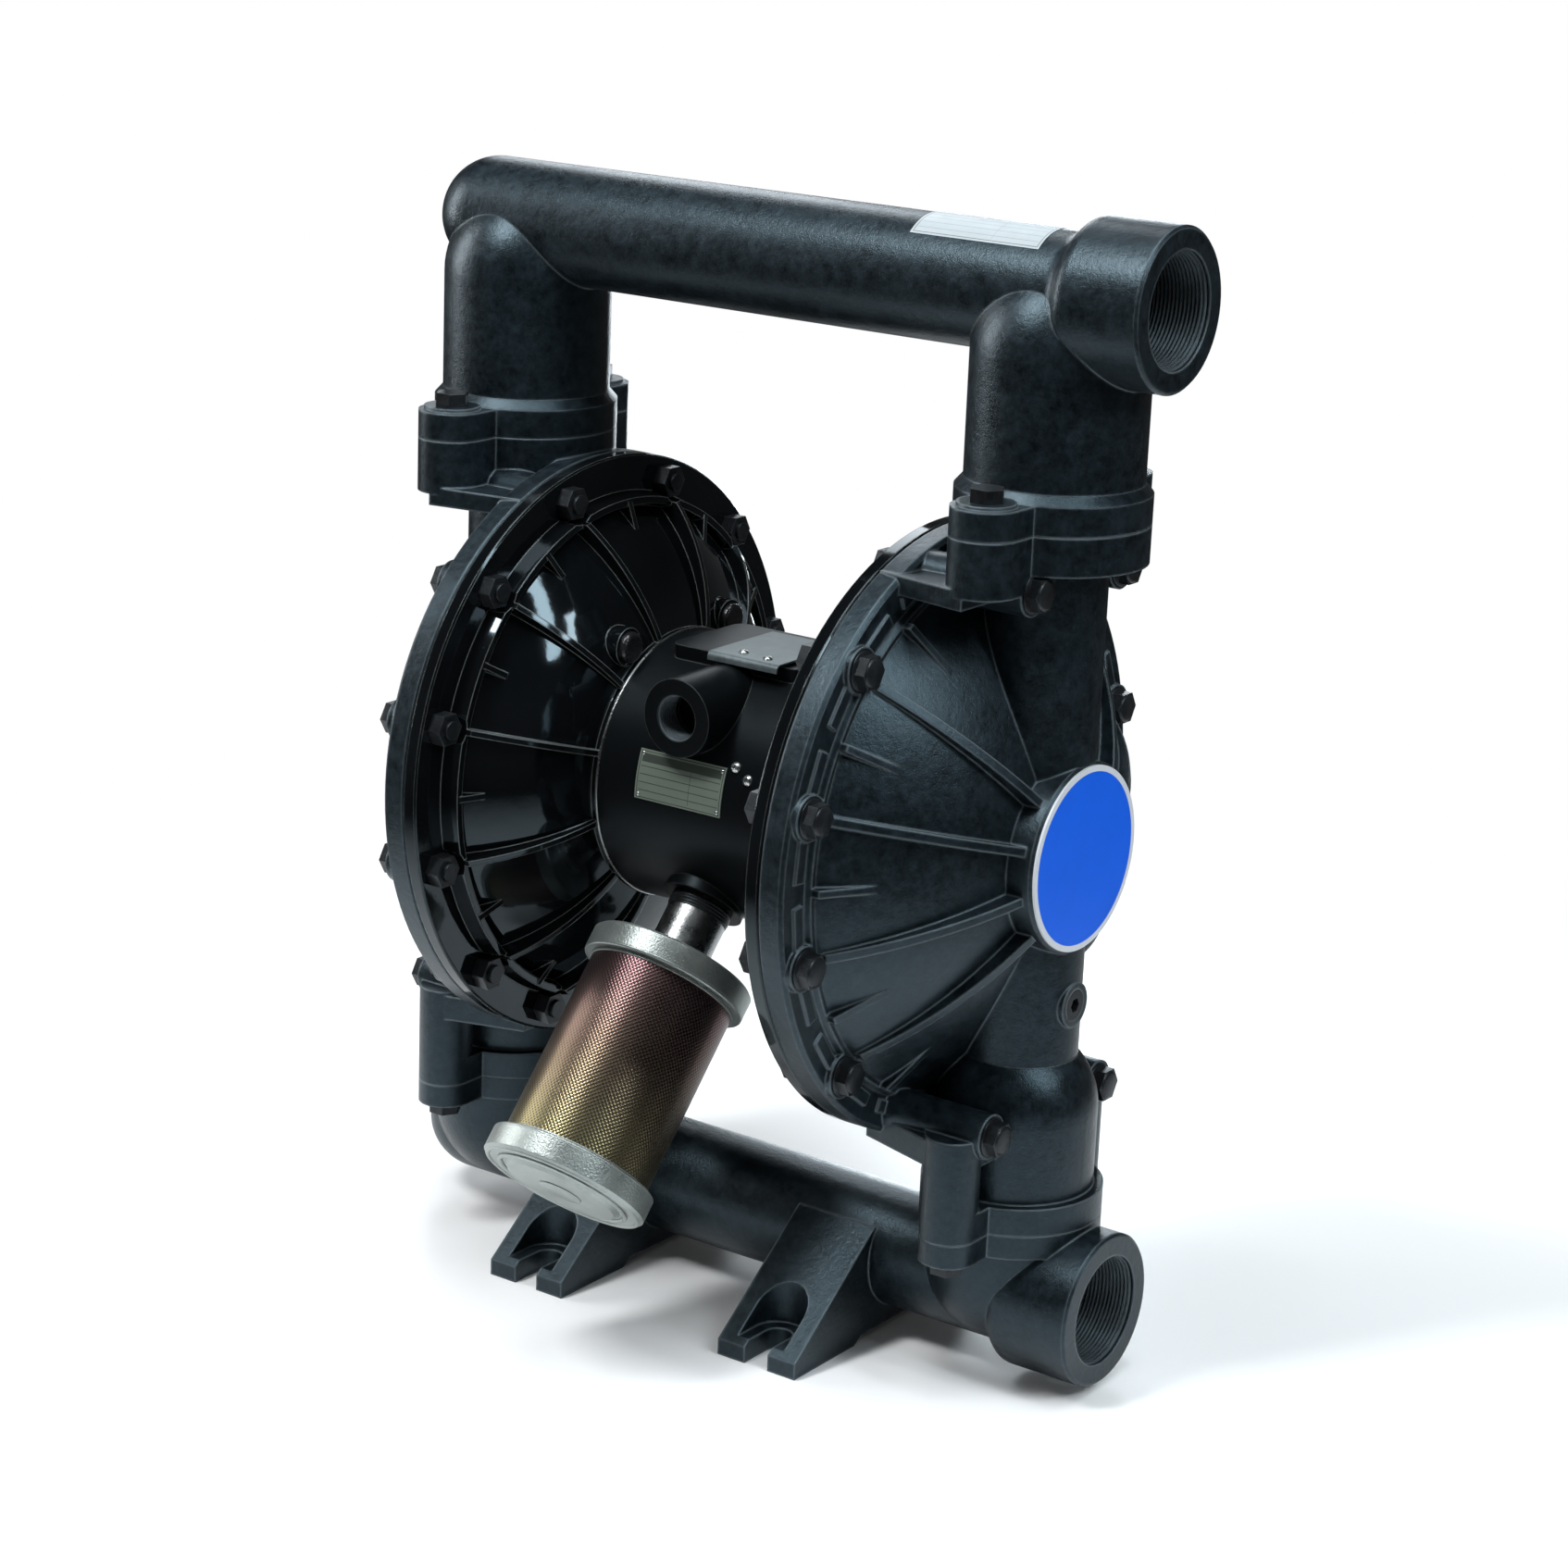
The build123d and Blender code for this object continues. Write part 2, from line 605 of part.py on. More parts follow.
with BuildPart() as sense_plugs:
    with BuildSketch(across.offset(sense_x)):
        with Locations((-sense_y, sense_z), (sense_y, sense_z)):
            Circle(sense_cap_r)
    extrude(amount=-sense_cap_h)
    fillet(sense_plugs.faces().sort_by(Axis.X)[0:2].edges(), sense_cap_round)
    with BuildSketch(across.offset(sense_x)):
        with Locations((-sense_y, sense_z), (sense_y, sense_z)):
            Circle(sense_r)
    extrude(amount=sense_l - sense_cap_sink)
    mirror(about=Plane.YZ)
finish(sense_plugs, "sense_plugs")

# Centre housing: a drum with the air inlet in front, the valve chamber behind
# and the exhaust outlet slanting down to the front
front_face = Plane(origin=(0, -air_port_y, axis_z + air_port_z), x_dir=(1, 0, 0), z_dir=(0, -1, 0))
back_face = Plane(origin=(0, valve_back_y, axis_z), x_dir=(-1, 0, 0), z_dir=(0, 1, 0))
slant = radians(muffler_angle)
exhaust = Plane(origin=(0, 0, axis_z), x_dir=(1, 0, 0), z_dir=(0, -cos(slant), -sin(slant)))
valve_section = Plane(origin=(0, valve_y, axis_z), x_dir=(1, 0, 0), z_dir=(0, -1, 0))

with BuildPart() as center_housing:
    with BuildSketch(across.offset(-housing_half)):
        Circle(housing_r)
    extrude(amount=2 * housing_half)
    chamfer(center_housing.edges().filter_by(GeomType.CIRCLE), rim_chamfer)
    with BuildSketch(front_face):
        Circle(air_port_r)
    extrude(amount=pad_root_y - air_port_y)
    with BuildSketch(back_face):
        RectangleRounded(valve_pad_w, valve_pad_h, valve_pad_round)
    extrude(amount=pad_root_y - valve_back_y)
    with BuildSketch(Plane.XY.offset(axis_z + housing_r + top_pad_h)):
        RectangleRounded(top_pad_x, top_pad_y, top_pad_round)
    extrude(amount=-boss_root)
    with BuildSketch(exhaust.offset(exhaust_face)):
        Circle(nipple_r + exhaust_boss_wall)
    extrude(amount=-boss_root)
    # Bores: rod, bearings and seals, valve spool and pocket, pilot pins, air inlet and exhaust
    with BuildSketch(across.offset(-housing_half)):
        Circle(rod_r + hole_gap)
        with Locations((valve_y, 0)):
            Circle(spool_r + run_gap)
    extrude(amount=2 * housing_half, mode=Mode.SUBTRACT)
    for side in (-1, 1):
        with BuildSketch(across.offset(side * housing_half)):
            Circle(bearing_r + run_gap)
        extrude(amount=-side * (bearing_l + seal_l), mode=Mode.SUBTRACT)
        with BuildSketch(across.offset(side * housing_half)):
            with Locations((0, -pin_z)):
                Circle(pin_r + run_gap)
        extrude(amount=-side * (housing_half - pin_root_x + pin_travel + bolt_end_gap), mode=Mode.SUBTRACT)
        with BuildSketch(across.offset(side * housing_half)):
            with PolarLocations(cover_screw_r, cover_screws, start_angle=180 / cover_screws):
                Circle(cover_screw_d + run_gap)
        extrude(amount=-side * (cover_screw_l + bolt_end_gap), mode=Mode.SUBTRACT)
    with BuildSketch(back_face):
        Rectangle(valve_pocket_w, valve_pocket_h)
    extrude(amount=-(valve_back_y - valve_y), mode=Mode.SUBTRACT)
    with BuildSketch(back_face):
        with GridLocations(valve_screw_x, valve_screw_z, 3, 2):
            Circle(screw_r + run_gap)
    extrude(amount=-screw_l, mode=Mode.SUBTRACT)
    with BuildSketch(front_face):
        Circle(air_bore_r)
    extrude(amount=-air_bore_l, mode=Mode.SUBTRACT)
    with BuildSketch(exhaust.offset(exhaust_face)):
        Circle(nipple_r + run_gap)
    extrude(amount=nipple_root - exhaust_face, mode=Mode.SUBTRACT)
finish(center_housing, "center_housing")

# Diaphragm rod, its bearings and seals
with BuildPart() as diaphragm_rod:
    with BuildSketch(across.offset(-rod_half)):
        Circle(rod_r)
    extrude(amount=2 * rod_half)
    chamfer(diaphragm_rod.edges().filter_by(GeomType.CIRCLE), rim_chamfer)
    with BuildSketch(across.offset(-rod_half), across.offset(rod_half)):
        Circle(bolt_r + run_gap)
    extrude(amount=rod_bolt_grip, both=True, mode=Mode.SUBTRACT)
finish(diaphragm_rod, "diaphragm_rod")

with BuildPart() as rod_bearings:
    with BuildSketch(across.offset(housing_half - seal_l)):
        Circle(bearing_r)
        Circle(rod_r + run_gap, mode=Mode.SUBTRACT)
    extrude(amount=-bearing_l)
    mirror(about=Plane.YZ)
finish(rod_bearings, "rod_bearings")

with BuildPart() as rod_seals:
    with BuildSketch(across.offset(housing_half)):
        Circle(bearing_r)
        Circle(rod_r + run_gap, mode=Mode.SUBTRACT)
    extrude(amount=-seal_l)
    mirror(about=Plane.YZ)
finish(rod_seals, "rod_seals")

# Diaphragms: a flat centre, a rolling ring and a clamped bead
with BuildPart() as diaphragm_right:
    with BuildSketch(section):
        with BuildLine():
            Line((air_face_x, bolt_r + hole_gap), (air_face_x, plate_r + rim_chamfer))
            SagittaArc((air_face_x, plate_r + rim_chamfer), (air_face_x, cavity_r), -roll_h)
            Polyline((air_face_x, cavity_r), (air_face_x, bowl_r),
                     (fluid_face_x, bowl_r), (fluid_face_x, cavity_r))
            SagittaArc((fluid_face_x, cavity_r), (fluid_face_x, plate_r + rim_chamfer), roll_h)
            Polyline((fluid_face_x, plate_r + rim_chamfer), (fluid_face_x, bolt_r + hole_gap),
                     (air_face_x, bolt_r + hole_gap))
        make_face()
    revolve(axis=pump_axis)
finish(diaphragm_right, "diaphragm_right")

with BuildPart() as air_plate_right:
    with BuildSketch(section):
        with BuildLine():
            Polyline((air_face_x, bolt_r + hole_gap), (air_face_x, plate_r - plate_edge))
            RadiusArc((air_face_x, plate_r - plate_edge), (air_face_x - plate_edge, plate_r), -plate_edge)
            Polyline((air_face_x - plate_edge, plate_r), (rod_half + plate_edge, plate_r - air_plate_slope),
                     (rod_half, plate_r - air_plate_hub), (rod_half, bolt_r + hole_gap),
                     (air_face_x, bolt_r + hole_gap))
        make_face()
    revolve(axis=pump_axis)
finish(air_plate_right, "air_plate_right")

with BuildPart() as fluid_plate_right:
    with BuildSketch(section):
        with BuildLine():
            Polyline((fluid_face_x, bolt_r + hole_gap), (fluid_face_x, plate_r - plate_edge))
            RadiusArc((fluid_face_x, plate_r - plate_edge), (fluid_face_x + plate_edge, plate_r), plate_edge)
            Polyline((fluid_face_x + plate_edge, plate_r), (fluid_face_x + plate_edge + rim_chamfer, plate_r),
                     (plate_face_x, plate_r - fluid_plate_hub), (plate_face_x, bolt_r + hole_gap),
                     (fluid_face_x, bolt_r + hole_gap))
        make_face()
    revolve(axis=pump_axis)
finish(fluid_plate_right, "fluid_plate_right")

with BuildPart() as diaphragm_bolts:
    with BuildSketch(across.offset(plate_face_x)):
        RegularPolygon(rod_bolt_af / 2, 6, major_radius=False)
    extrude(amount=rod_bolt_head_h)
    with BuildSketch(across.offset(plate_face_x)):
        Circle(bolt_r)
    extrude(amount=-(plate_face_x - rod_half + rod_bolt_grip - bolt_end_gap))
    mirror(about=Plane.YZ)
finish(diaphragm_bolts, "diaphragm_bolts")

for right_piece, name in ((diaphragm_right, "diaphragm_left"), (air_plate_right, "air_plate_left"),
                          (fluid_plate_right, "fluid_plate_left")):
    with BuildPart() as left_piece:
        mirror(right_piece.part, about=Plane.YZ)
    finish(left_piece, name)

# Air valve: spool, sliding carriage, ported plate, gasket and cover; and the two pilot pins
with BuildPart() as valve_spool:
    with BuildSketch(valve_section):
        with BuildLine():
            Polyline((-spool_half, 0), (-spool_half, spool_r - rim_chamfer),
                     (-spool_half + rim_chamfer, spool_r),
                     (-waist_half, spool_r), (-waist_half, waist_r), (waist_half, waist_r),
                     (waist_half, spool_r), (spool_half - rim_chamfer, spool_r),
                     (spool_half, spool_r - rim_chamfer),
                     (spool_half, 0), (-spool_half, 0))
        make_face()
    revolve(axis=Axis((0, valve_y, axis_z), (1, 0, 0)))
    with BuildSketch(valve_section):
        with Locations((cup_in - spool_half, spool_r), (spool_half - cup_in, spool_r)):
            Rectangle(cup_w, 2 * cup_t)
    revolve(axis=Axis((0, valve_y, axis_z), (1, 0, 0)), mode=Mode.SUBTRACT)
finish(valve_spool, "valve_spool")

with BuildPart() as spool_cups:
    with BuildSketch(valve_section):
        with Locations((cup_in - spool_half, spool_r - cup_t / 2),
                       (spool_half - cup_in, spool_r - cup_t / 2)):
            Rectangle(cup_w, cup_t)
    revolve(axis=Axis((0, valve_y, axis_z), (1, 0, 0)))
finish(spool_cups, "spool_cups")

with BuildPart() as valve_carriage:
    with BuildSketch(back_face.offset(carriage_y - valve_back_y)):
        Rectangle(2 * (waist_half - fit_gap), carriage_h)
    extrude(amount=carriage_back_y - carriage_y)
    chamfer(valve_carriage.edges().filter_by(Axis.Y), cover_edge)
    with BuildSketch(back_face.offset(carriage_back_y - valve_back_y)):
        RectangleRounded(waist_half, carriage_h / 2, raised_round)
    extrude(amount=-carriage_pocket_d, mode=Mode.SUBTRACT)
finish(valve_carriage, "valve_carriage")

with BuildPart() as port_plate:
    with BuildSketch(back_face):
        Rectangle(valve_pocket_w - 2 * fit_gap, valve_pocket_h - 2 * fit_gap)
        with GridLocations(port_pitch, 0, 3, 1):
            SlotOverall(port_l_z, port_w, rotation=90, mode=Mode.SUBTRACT)
    extrude(amount=-port_plate_t)
finish(port_plate, "port_plate")

with BuildPart() as valve_gasket:
    with BuildSketch(back_face):
        RectangleRounded(valve_pad_w, valve_pad_h, valve_pad_round)
        with GridLocations(valve_screw_x, valve_screw_z, 3, 2):
            Circle(screw_r + hole_gap, mode=Mode.SUBTRACT)
    extrude(amount=gasket_t)
finish(valve_gasket, "valve_gasket")

with BuildPart() as valve_cover:
    with BuildSketch(back_face.offset(gasket_t)):
        RectangleRounded(valve_pad_w, valve_pad_h, valve_pad_round)
    extrude(amount=valve_cover_t)
    chamfer(valve_cover.faces().sort_by(Axis.Y)[-1].edges(), cover_edge)
    with BuildSketch(back_face.offset(gasket_t + valve_cover_t)):
        RectangleRounded(valve_pocket_w, valve_pocket_h, raised_round)
    extrude(amount=raised_h)
    with BuildSketch(back_face.offset(gasket_t)):
        with GridLocations(valve_screw_x, valve_screw_z, 3, 2):
            Circle(screw_r + hole_gap)
    extrude(amount=valve_cover_t, mode=Mode.SUBTRACT)
finish(valve_cover, "valve_cover")

with BuildPart() as valve_screws:
    with BuildSketch(back_face.offset(gasket_t + valve_cover_t)):
        with GridLocations(valve_screw_x, valve_screw_z, 3, 2):
            Circle(valve_head_r)
    extrude(amount=valve_head_h)
    with BuildSketch(back_face.offset(gasket_t + valve_cover_t)):
        with GridLocations(valve_screw_x, valve_screw_z, 3, 2):
            Circle(screw_r)
    extrude(amount=-(gasket_t + valve_cover_t + screw_l - bolt_end_gap))
finish(valve_screws, "valve_screws")

with BuildPart() as pilot_pin_right:
    with BuildSketch(across.offset(pin_root_x)):
        with Locations((0, -pin_z)):
            Circle(pin_r)
    extrude(amount=pin_l)
    chamfer(pilot_pin_right.edges().filter_by(GeomType.CIRCLE), pin_edge)
finish(pilot_pin_right, "pilot_pin_right")

with BuildPart() as pilot_pin_left:
    mirror(pilot_pin_right.part, about=Plane.YZ)
finish(pilot_pin_left, "pilot_pin_left")

# Check valves: seat, ball, guide cage and O-ring, the same at all four places
check_places = (("inlet_{}_left", -side_x, inlet_joint_z), ("inlet_{}_right", side_x, inlet_joint_z),
                ("outlet_{}_left", -side_x, outlet_joint_z), ("outlet_{}_right", side_x, outlet_joint_z))
for name, x, joint_z in check_places:
    stem = Axis((x, 0, 0), (0, 0, 1))
    with BuildPart() as seat:
        with BuildSketch(Plane(origin=(x, 0, joint_z - seat_t), x_dir=(1, 0, 0), z_dir=(0, -1, 0))):
            with BuildLine():
                Polyline((seat_bore_r, 0), (seat_r, 0), (seat_r, seat_t - ring_d),
                         (seat_r - ring_d, seat_t - ring_d), (seat_r - ring_d, seat_t), (cone_top_r, seat_t),
                         (seat_bore_r, seat_land), (seat_bore_r, 0))
            make_face()
        revolve(axis=stem)
    finish(seat, name.format("seat"))
    with BuildPart() as ball:
        with Locations((x, 0, joint_z - seat_t + ball_up)):
            Sphere(ball_r)
    finish(ball, name.format("ball"))
    with BuildPart() as guide:
        with BuildSketch(upright(x, joint_z)):
            Circle(guide_r)
            Circle(ball_r + ball_gap, mode=Mode.SUBTRACT)
        extrude(amount=guide_ring_h)
        with BuildSketch(upright(x, joint_z)):
            with PolarLocations(0, 4, start_angle=45):
                Rectangle(2 * guide_r, guide_rib_t)
            Circle(guide_r, mode=Mode.INTERSECT)
            Circle(ball_r + ball_gap, mode=Mode.SUBTRACT)
        extrude(amount=cage_h + guide_rib_t)
        with BuildSketch(upright(x, joint_z + cage_h)):
            with PolarLocations(0, 4, start_angle=45):
                Rectangle(2 * guide_r, guide_rib_t)
            Circle(guide_r, mode=Mode.INTERSECT)
        extrude(amount=guide_rib_t)
    finish(guide, name.format("ball_guide"))

for name, joint_z in (("inlet_orings", inlet_joint_z), ("outlet_orings", outlet_joint_z)):
    with BuildPart() as orings:
        with Locations((-side_x, 0, joint_z - ring_d / 2), (side_x, 0, joint_z - ring_d / 2)):
            Torus(seat_r - ring_d / 2, ring_d / 2 - ring_squash)
    finish(orings, name)

# Outlet manifold: two domed risers joined by a tube that ends in the outlet port
with BuildPart() as outlet_manifold:
    for x in (-side_x, side_x):
        with BuildSketch(passage_section(x)):
            with BuildLine():
                Polyline((0, outlet_joint_z), (ring_r, outlet_joint_z),
                         (ring_r, outlet_joint_z + outlet_flange_t),
                         (riser_r, outlet_joint_z + outlet_flange_t + flange_slope), (riser_r, riser_dome_z))
                CenterArc((0, riser_dome_z), riser_r, 0, 90)
                Line((0, riser_dome_z + riser_r), (0, outlet_joint_z))
            make_face()
        revolve(axis=Axis((x, 0, 0), (0, 0, 1)))
        with BuildSketch(upright(x, outlet_joint_z)):
            SlotCenterToCenter(2 * lug_y, 2 * lug_r, rotation=90)
        extrude(amount=outlet_flange_t)
        with BuildSketch(upright(x, outlet_joint_z + outlet_flange_t)):
            with GridLocations(0, 2 * lug_y, 1, 2):
                Circle(lug_r - lug_pad_in)
        extrude(amount=lug_pad_h)
    with BuildSketch(tube_section(outlet_tube_z)):
        with BuildLine():
            CenterArc((-tube_end_x, 0), tube_r, 90, 90)
            Line((-tube_end_x, tube_r), (port_back_x - port_taper, tube_r))
            Spline((port_back_x - port_taper, tube_r), (port_back_x, port_r), tangents=((1, 0), (1, 0)))
            Polyline((port_back_x, port_r), (port_x - port_chamfer, port_r), (port_x, port_r - port_chamfer),
                     (port_x, 0),
                     (-tube_end_x - tube_r, 0))
        make_face()
    revolve(axis=Axis((0, 0, outlet_tube_z), (1, 0, 0)))
    for x in (-side_x, side_x):
        with BuildSketch(passage_section(x)):
            with BuildLine():
                Line((0, outlet_joint_z), (chamber_r, outlet_joint_z))
                Line((chamber_r, outlet_joint_z), (chamber_r, riser_dome_z))
                CenterArc((0, riser_dome_z), chamber_r, 0, 90)
                Line((0, riser_dome_z + chamber_r), (0, outlet_joint_z))
            make_face()
        revolve(axis=Axis((x, 0, 0), (0, 0, 1)), mode=Mode.SUBTRACT)
        with BuildSketch(upright(x, outlet_joint_z)):
            with GridLocations(0, 2 * lug_y, 1, 2):
                Circle(bolt_r + hole_gap)
        extrude(amount=outlet_flange_t + lug_pad_h, mode=Mode.SUBTRACT)
    with BuildSketch(across_at(-tube_end_x, outlet_tube_z)):
        Circle(tube_r - tube_wall)
    extrude(amount=tube_end_x + port_x, mode=Mode.SUBTRACT)
    with BuildSketch(across_at(port_x, outlet_tube_z)):
        Circle(port_bore_r)
    extrude(amount=-port_bore_l, mode=Mode.SUBTRACT)
finish(outlet_manifold, "outlet_manifold")

# Inlet manifold: a tube under two flanged elbows, standing on two slotted feet

with BuildPart() as inlet_manifold:
    for x in (-side_x, side_x):
        with BuildSketch(passage_section(x)):
            with BuildLine():
                Polyline((0, inlet_joint_z), (lower_ring_r, inlet_joint_z),
                         (lower_ring_r, inlet_joint_z - inlet_flange_t),
                         (inlet_elbow_r, inlet_joint_z - inlet_flange_t),
                         (inlet_elbow_r, belly_z + inlet_elbow_r))
                CenterArc((0, belly_z + inlet_elbow_r), inlet_elbow_r, 270, 90)
                Line((0, belly_z), (0, inlet_joint_z))
            make_face()
        revolve(axis=Axis((x, 0, 0), (0, 0, 1)))
        with BuildSketch(upright(x, inlet_joint_z)):
            SlotCenterToCenter(2 * lower_lug_y, 2 * column_r, rotation=90)
        extrude(amount=-inlet_flange_t)
    with BuildSketch(tube_section(inlet_tube_z)):
        with BuildLine():
            CenterArc((-tube_end_x, 0), tube_r, 90, 90)
            Line((-tube_end_x, tube_r), (inlet_port_back_x - port_taper, tube_r))
            Spline((inlet_port_back_x - port_taper, tube_r), (inlet_port_back_x, port_r),
                   tangents=((1, 0), (1, 0)))
            Polyline((inlet_port_back_x, port_r), (inlet_port_x - port_chamfer, port_r),
                     (inlet_port_x, port_r - port_chamfer),
                     (inlet_port_x, 0), (-tube_end_x - tube_r, 0))
        make_face()
    revolve(axis=Axis((0, 0, inlet_tube_z), (1, 0, 0)))
    for x in (-foot_x, foot_x):
        with BuildSketch(across_at(x - foot_w / 2, 0)):
            with BuildLine():
                Polyline((-foot_reach, 0), (-foot_reach, foot_edge_h), (-saddle_y, saddle_z),
                         (saddle_y, saddle_z), (foot_reach, foot_edge_h), (foot_reach, 0), (sole_gap_y, 0),
                         (sole_gap_y - sole_gap_slope, sole_gap_h),
                         (sole_gap_slope - sole_gap_y, sole_gap_h), (-sole_gap_y, 0),
                         (-foot_reach, 0))
            make_face()
        extrude(amount=foot_w)
    for x in (-foot_x, foot_x):
        for side in (-1, 1):
            slot_y = side * (foot_reach - foot_slot_in)
            with BuildSketch(Plane.XY):
                with Locations((x, slot_y)):
                    Circle(foot_slot_r)
                with Locations((x, slot_y + side * foot_slot_in / 2)):
                    Rectangle(2 * foot_slot_r, foot_slot_in)
            extrude(amount=foot_sole_h, mode=Mode.SUBTRACT)
            with BuildSketch(Plane.XY.offset(foot_sole_h)):
                with Locations((x, slot_y)):
                    Circle(foot_pocket_r)
                with Locations((x, slot_y + side * foot_slot_in / 2)):
                    Rectangle(2 * foot_pocket_r, foot_slot_in)
            extrude(amount=saddle_z, mode=Mode.SUBTRACT)
    for x in (-side_x, side_x):
        with BuildSketch(upright(x, inlet_joint_z)):
            Circle(flow_r)
        extrude(amount=inlet_tube_z - inlet_joint_z, mode=Mode.SUBTRACT)
        with BuildSketch(upright(x, inlet_joint_z)):
            Circle(seat_r + fit_gap)
        extrude(amount=-seat_t, mode=Mode.SUBTRACT)
        with BuildSketch(upright(x, inlet_joint_z)):
            with GridLocations(0, 2 * lower_lug_y, 1, 2):
                Circle(bolt_r + hole_gap)
        extrude(amount=-inlet_flange_t, mode=Mode.SUBTRACT)
    with BuildSketch(across_at(-tube_end_x, inlet_tube_z)):
        Circle(tube_r - tube_wall)
    extrude(amount=tube_end_x + inlet_port_x, mode=Mode.SUBTRACT)
    with BuildSketch(across_at(inlet_port_x, inlet_tube_z)):
        Circle(port_bore_r)
    extrude(amount=-port_bore_l, mode=Mode.SUBTRACT)
finish(inlet_manifold, "inlet_manifold")

# Exhaust muffler on its pipe nipple
with BuildPart() as muffler_nipple:
    with BuildSketch(exhaust.offset(nipple_root)):
        Circle(nipple_r)
        Circle(nipple_r - nipple_wall, mode=Mode.SUBTRACT)
    extrude(amount=cap_top + nipple_in - nipple_root)
finish(muffler_nipple, "muffler_nipple")

with BuildPart() as muffler_top_cap:
    with BuildSketch(exhaust.offset(cap_top)):
        Circle(cap_r)
    extrude(amount=cap_h)
    chamfer(muffler_top_cap.edges().filter_by(GeomType.CIRCLE), cap_edge)
    with BuildSketch(exhaust.offset(cap_top - collar_h)):
        Circle(nipple_r + collar_wall)
    extrude(amount=collar_h + rim_chamfer)
    with BuildSketch(exhaust.offset(cap_top + cap_floor)):
        Circle(shell_r + run_gap)
    extrude(amount=cap_h, mode=Mode.SUBTRACT)
    with BuildSketch(exhaust.offset(cap_top - collar_h)):
        Circle(nipple_r + run_gap)
    extrude(amount=collar_h + nipple_in, mode=Mode.SUBTRACT)
finish(muffler_top_cap, "muffler_top_cap")

with BuildPart() as muffler_bottom_cap:
    with BuildSketch(exhaust.offset(cap_bottom)):
        Circle(cap_r)
    extrude(amount=-cap_h)
    chamfer(muffler_bottom_cap.edges().filter_by(GeomType.CIRCLE), cap_edge)
    with BuildSketch(exhaust.offset(cap_bottom)):
        Circle(disc_r)
    extrude(amount=disc_h, taper=45)
    with BuildSketch(exhaust.offset(cap_bottom - cap_floor)):
        Circle(shell_r + run_gap)
    extrude(amount=-cap_h, mode=Mode.SUBTRACT)
finish(muffler_bottom_cap, "muffler_bottom_cap")

with BuildPart() as muffler_shell:
    with BuildSketch(exhaust.offset(cap_top + cap_floor)):
        Circle(shell_r)
        Circle(shell_r - shell_wall, mode=Mode.SUBTRACT)
    extrude(amount=muffler_l - 2 * cap_floor)
finish(muffler_shell, "muffler_shell")

# Fasteners
for side, name in ((1, "right"), (-1, "left")):
    with BuildPart() as rim_bolt_set:
        for angles, head_x in ((plain_angles, rim_face_x + rim_step), (tall_angles, tall_x)):
            with BuildSketch(across.offset(side * head_x)):
                with Locations(*around(angles)):
                    RegularPolygon(bolt_af / 2, 6, major_radius=False)
            extrude(amount=side * bolt_head_h)
            with BuildSketch(across.offset(side * head_x)):
                with Locations(*around(angles)):
                    Circle(bolt_r)
            extrude(amount=-side * (head_x - air_rim_x + nut_h + thread_out))
    finish(rim_bolt_set, f"rim_bolts_{name}")
    with BuildPart() as rim_nut_set:
        with BuildSketch(across.offset(side * air_rim_x)):
            with Locations(*around(bolt_angles)):
                RegularPolygon(bolt_af / 2, 6, major_radius=False)
                Circle(bolt_r + run_gap, mode=Mode.SUBTRACT)
        extrude(amount=-side * nut_h)
    finish(rim_nut_set, f"rim_nuts_{name}")

for name, head_z, joint_z, y, up in (
    ("outlet_bolts", outlet_joint_z + outlet_flange_t + lug_pad_h, outlet_joint_z, lug_y, 1),
    ("inlet_bolts", inlet_joint_z - inlet_flange_t, inlet_joint_z, lower_lug_y, -1),
):
    with BuildPart() as manifold_bolts:
        with BuildSketch(Plane.XY.offset(head_z)):
            with GridLocations(2 * side_x, 2 * y, 2, 2):
                RegularPolygon(bolt_af / 2, 6, major_radius=False)
        extrude(amount=up * bolt_head_h)
        with BuildSketch(Plane.XY.offset(head_z)):
            with GridLocations(2 * side_x, 2 * y, 2, 2):
                Circle(bolt_r)
        extrude(amount=-up * (abs(head_z - joint_z) + manifold_bolt_grip - bolt_end_gap))
    finish(manifold_bolts, name)

with BuildPart() as housing_screws:
    with BuildSketch(across.offset(housing_half + disc_t)):
        with PolarLocations(cover_screw_r, cover_screws, start_angle=180 / cover_screws):
            Circle(cover_screw_d * screw_head_r)
    extrude(amount=cover_screw_d * screw_head_h)
    with BuildSketch(across.offset(housing_half + disc_t)):
        with PolarLocations(cover_screw_r, cover_screws, start_angle=180 / cover_screws):
            Circle(cover_screw_d)
    extrude(amount=-(disc_t + cover_screw_l))
    mirror(about=Plane.YZ)
finish(housing_screws, "housing_screws")

with BuildPart() as drain_plugs:
    with BuildSketch(across.offset(plug_x)):
        with Locations((0, -plug_z)):
            Circle(plug_r)
            RegularPolygon(plug_wall, 6, mode=Mode.SUBTRACT)
    extrude(amount=-plug_l)
    mirror(about=Plane.YZ)
finish(drain_plugs, "drain_plugs")

# The right cover carries a round badge plate on its hub
with BuildPart() as badge:
    with BuildSketch(across.offset(hub_x)):
        Circle(badge_r)
    extrude(amount=badge_t)
finish(badge, "badge")
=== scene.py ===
import json
import math
import bmesh
import bpy
import numpy as np
from mathutils import Matrix, Vector


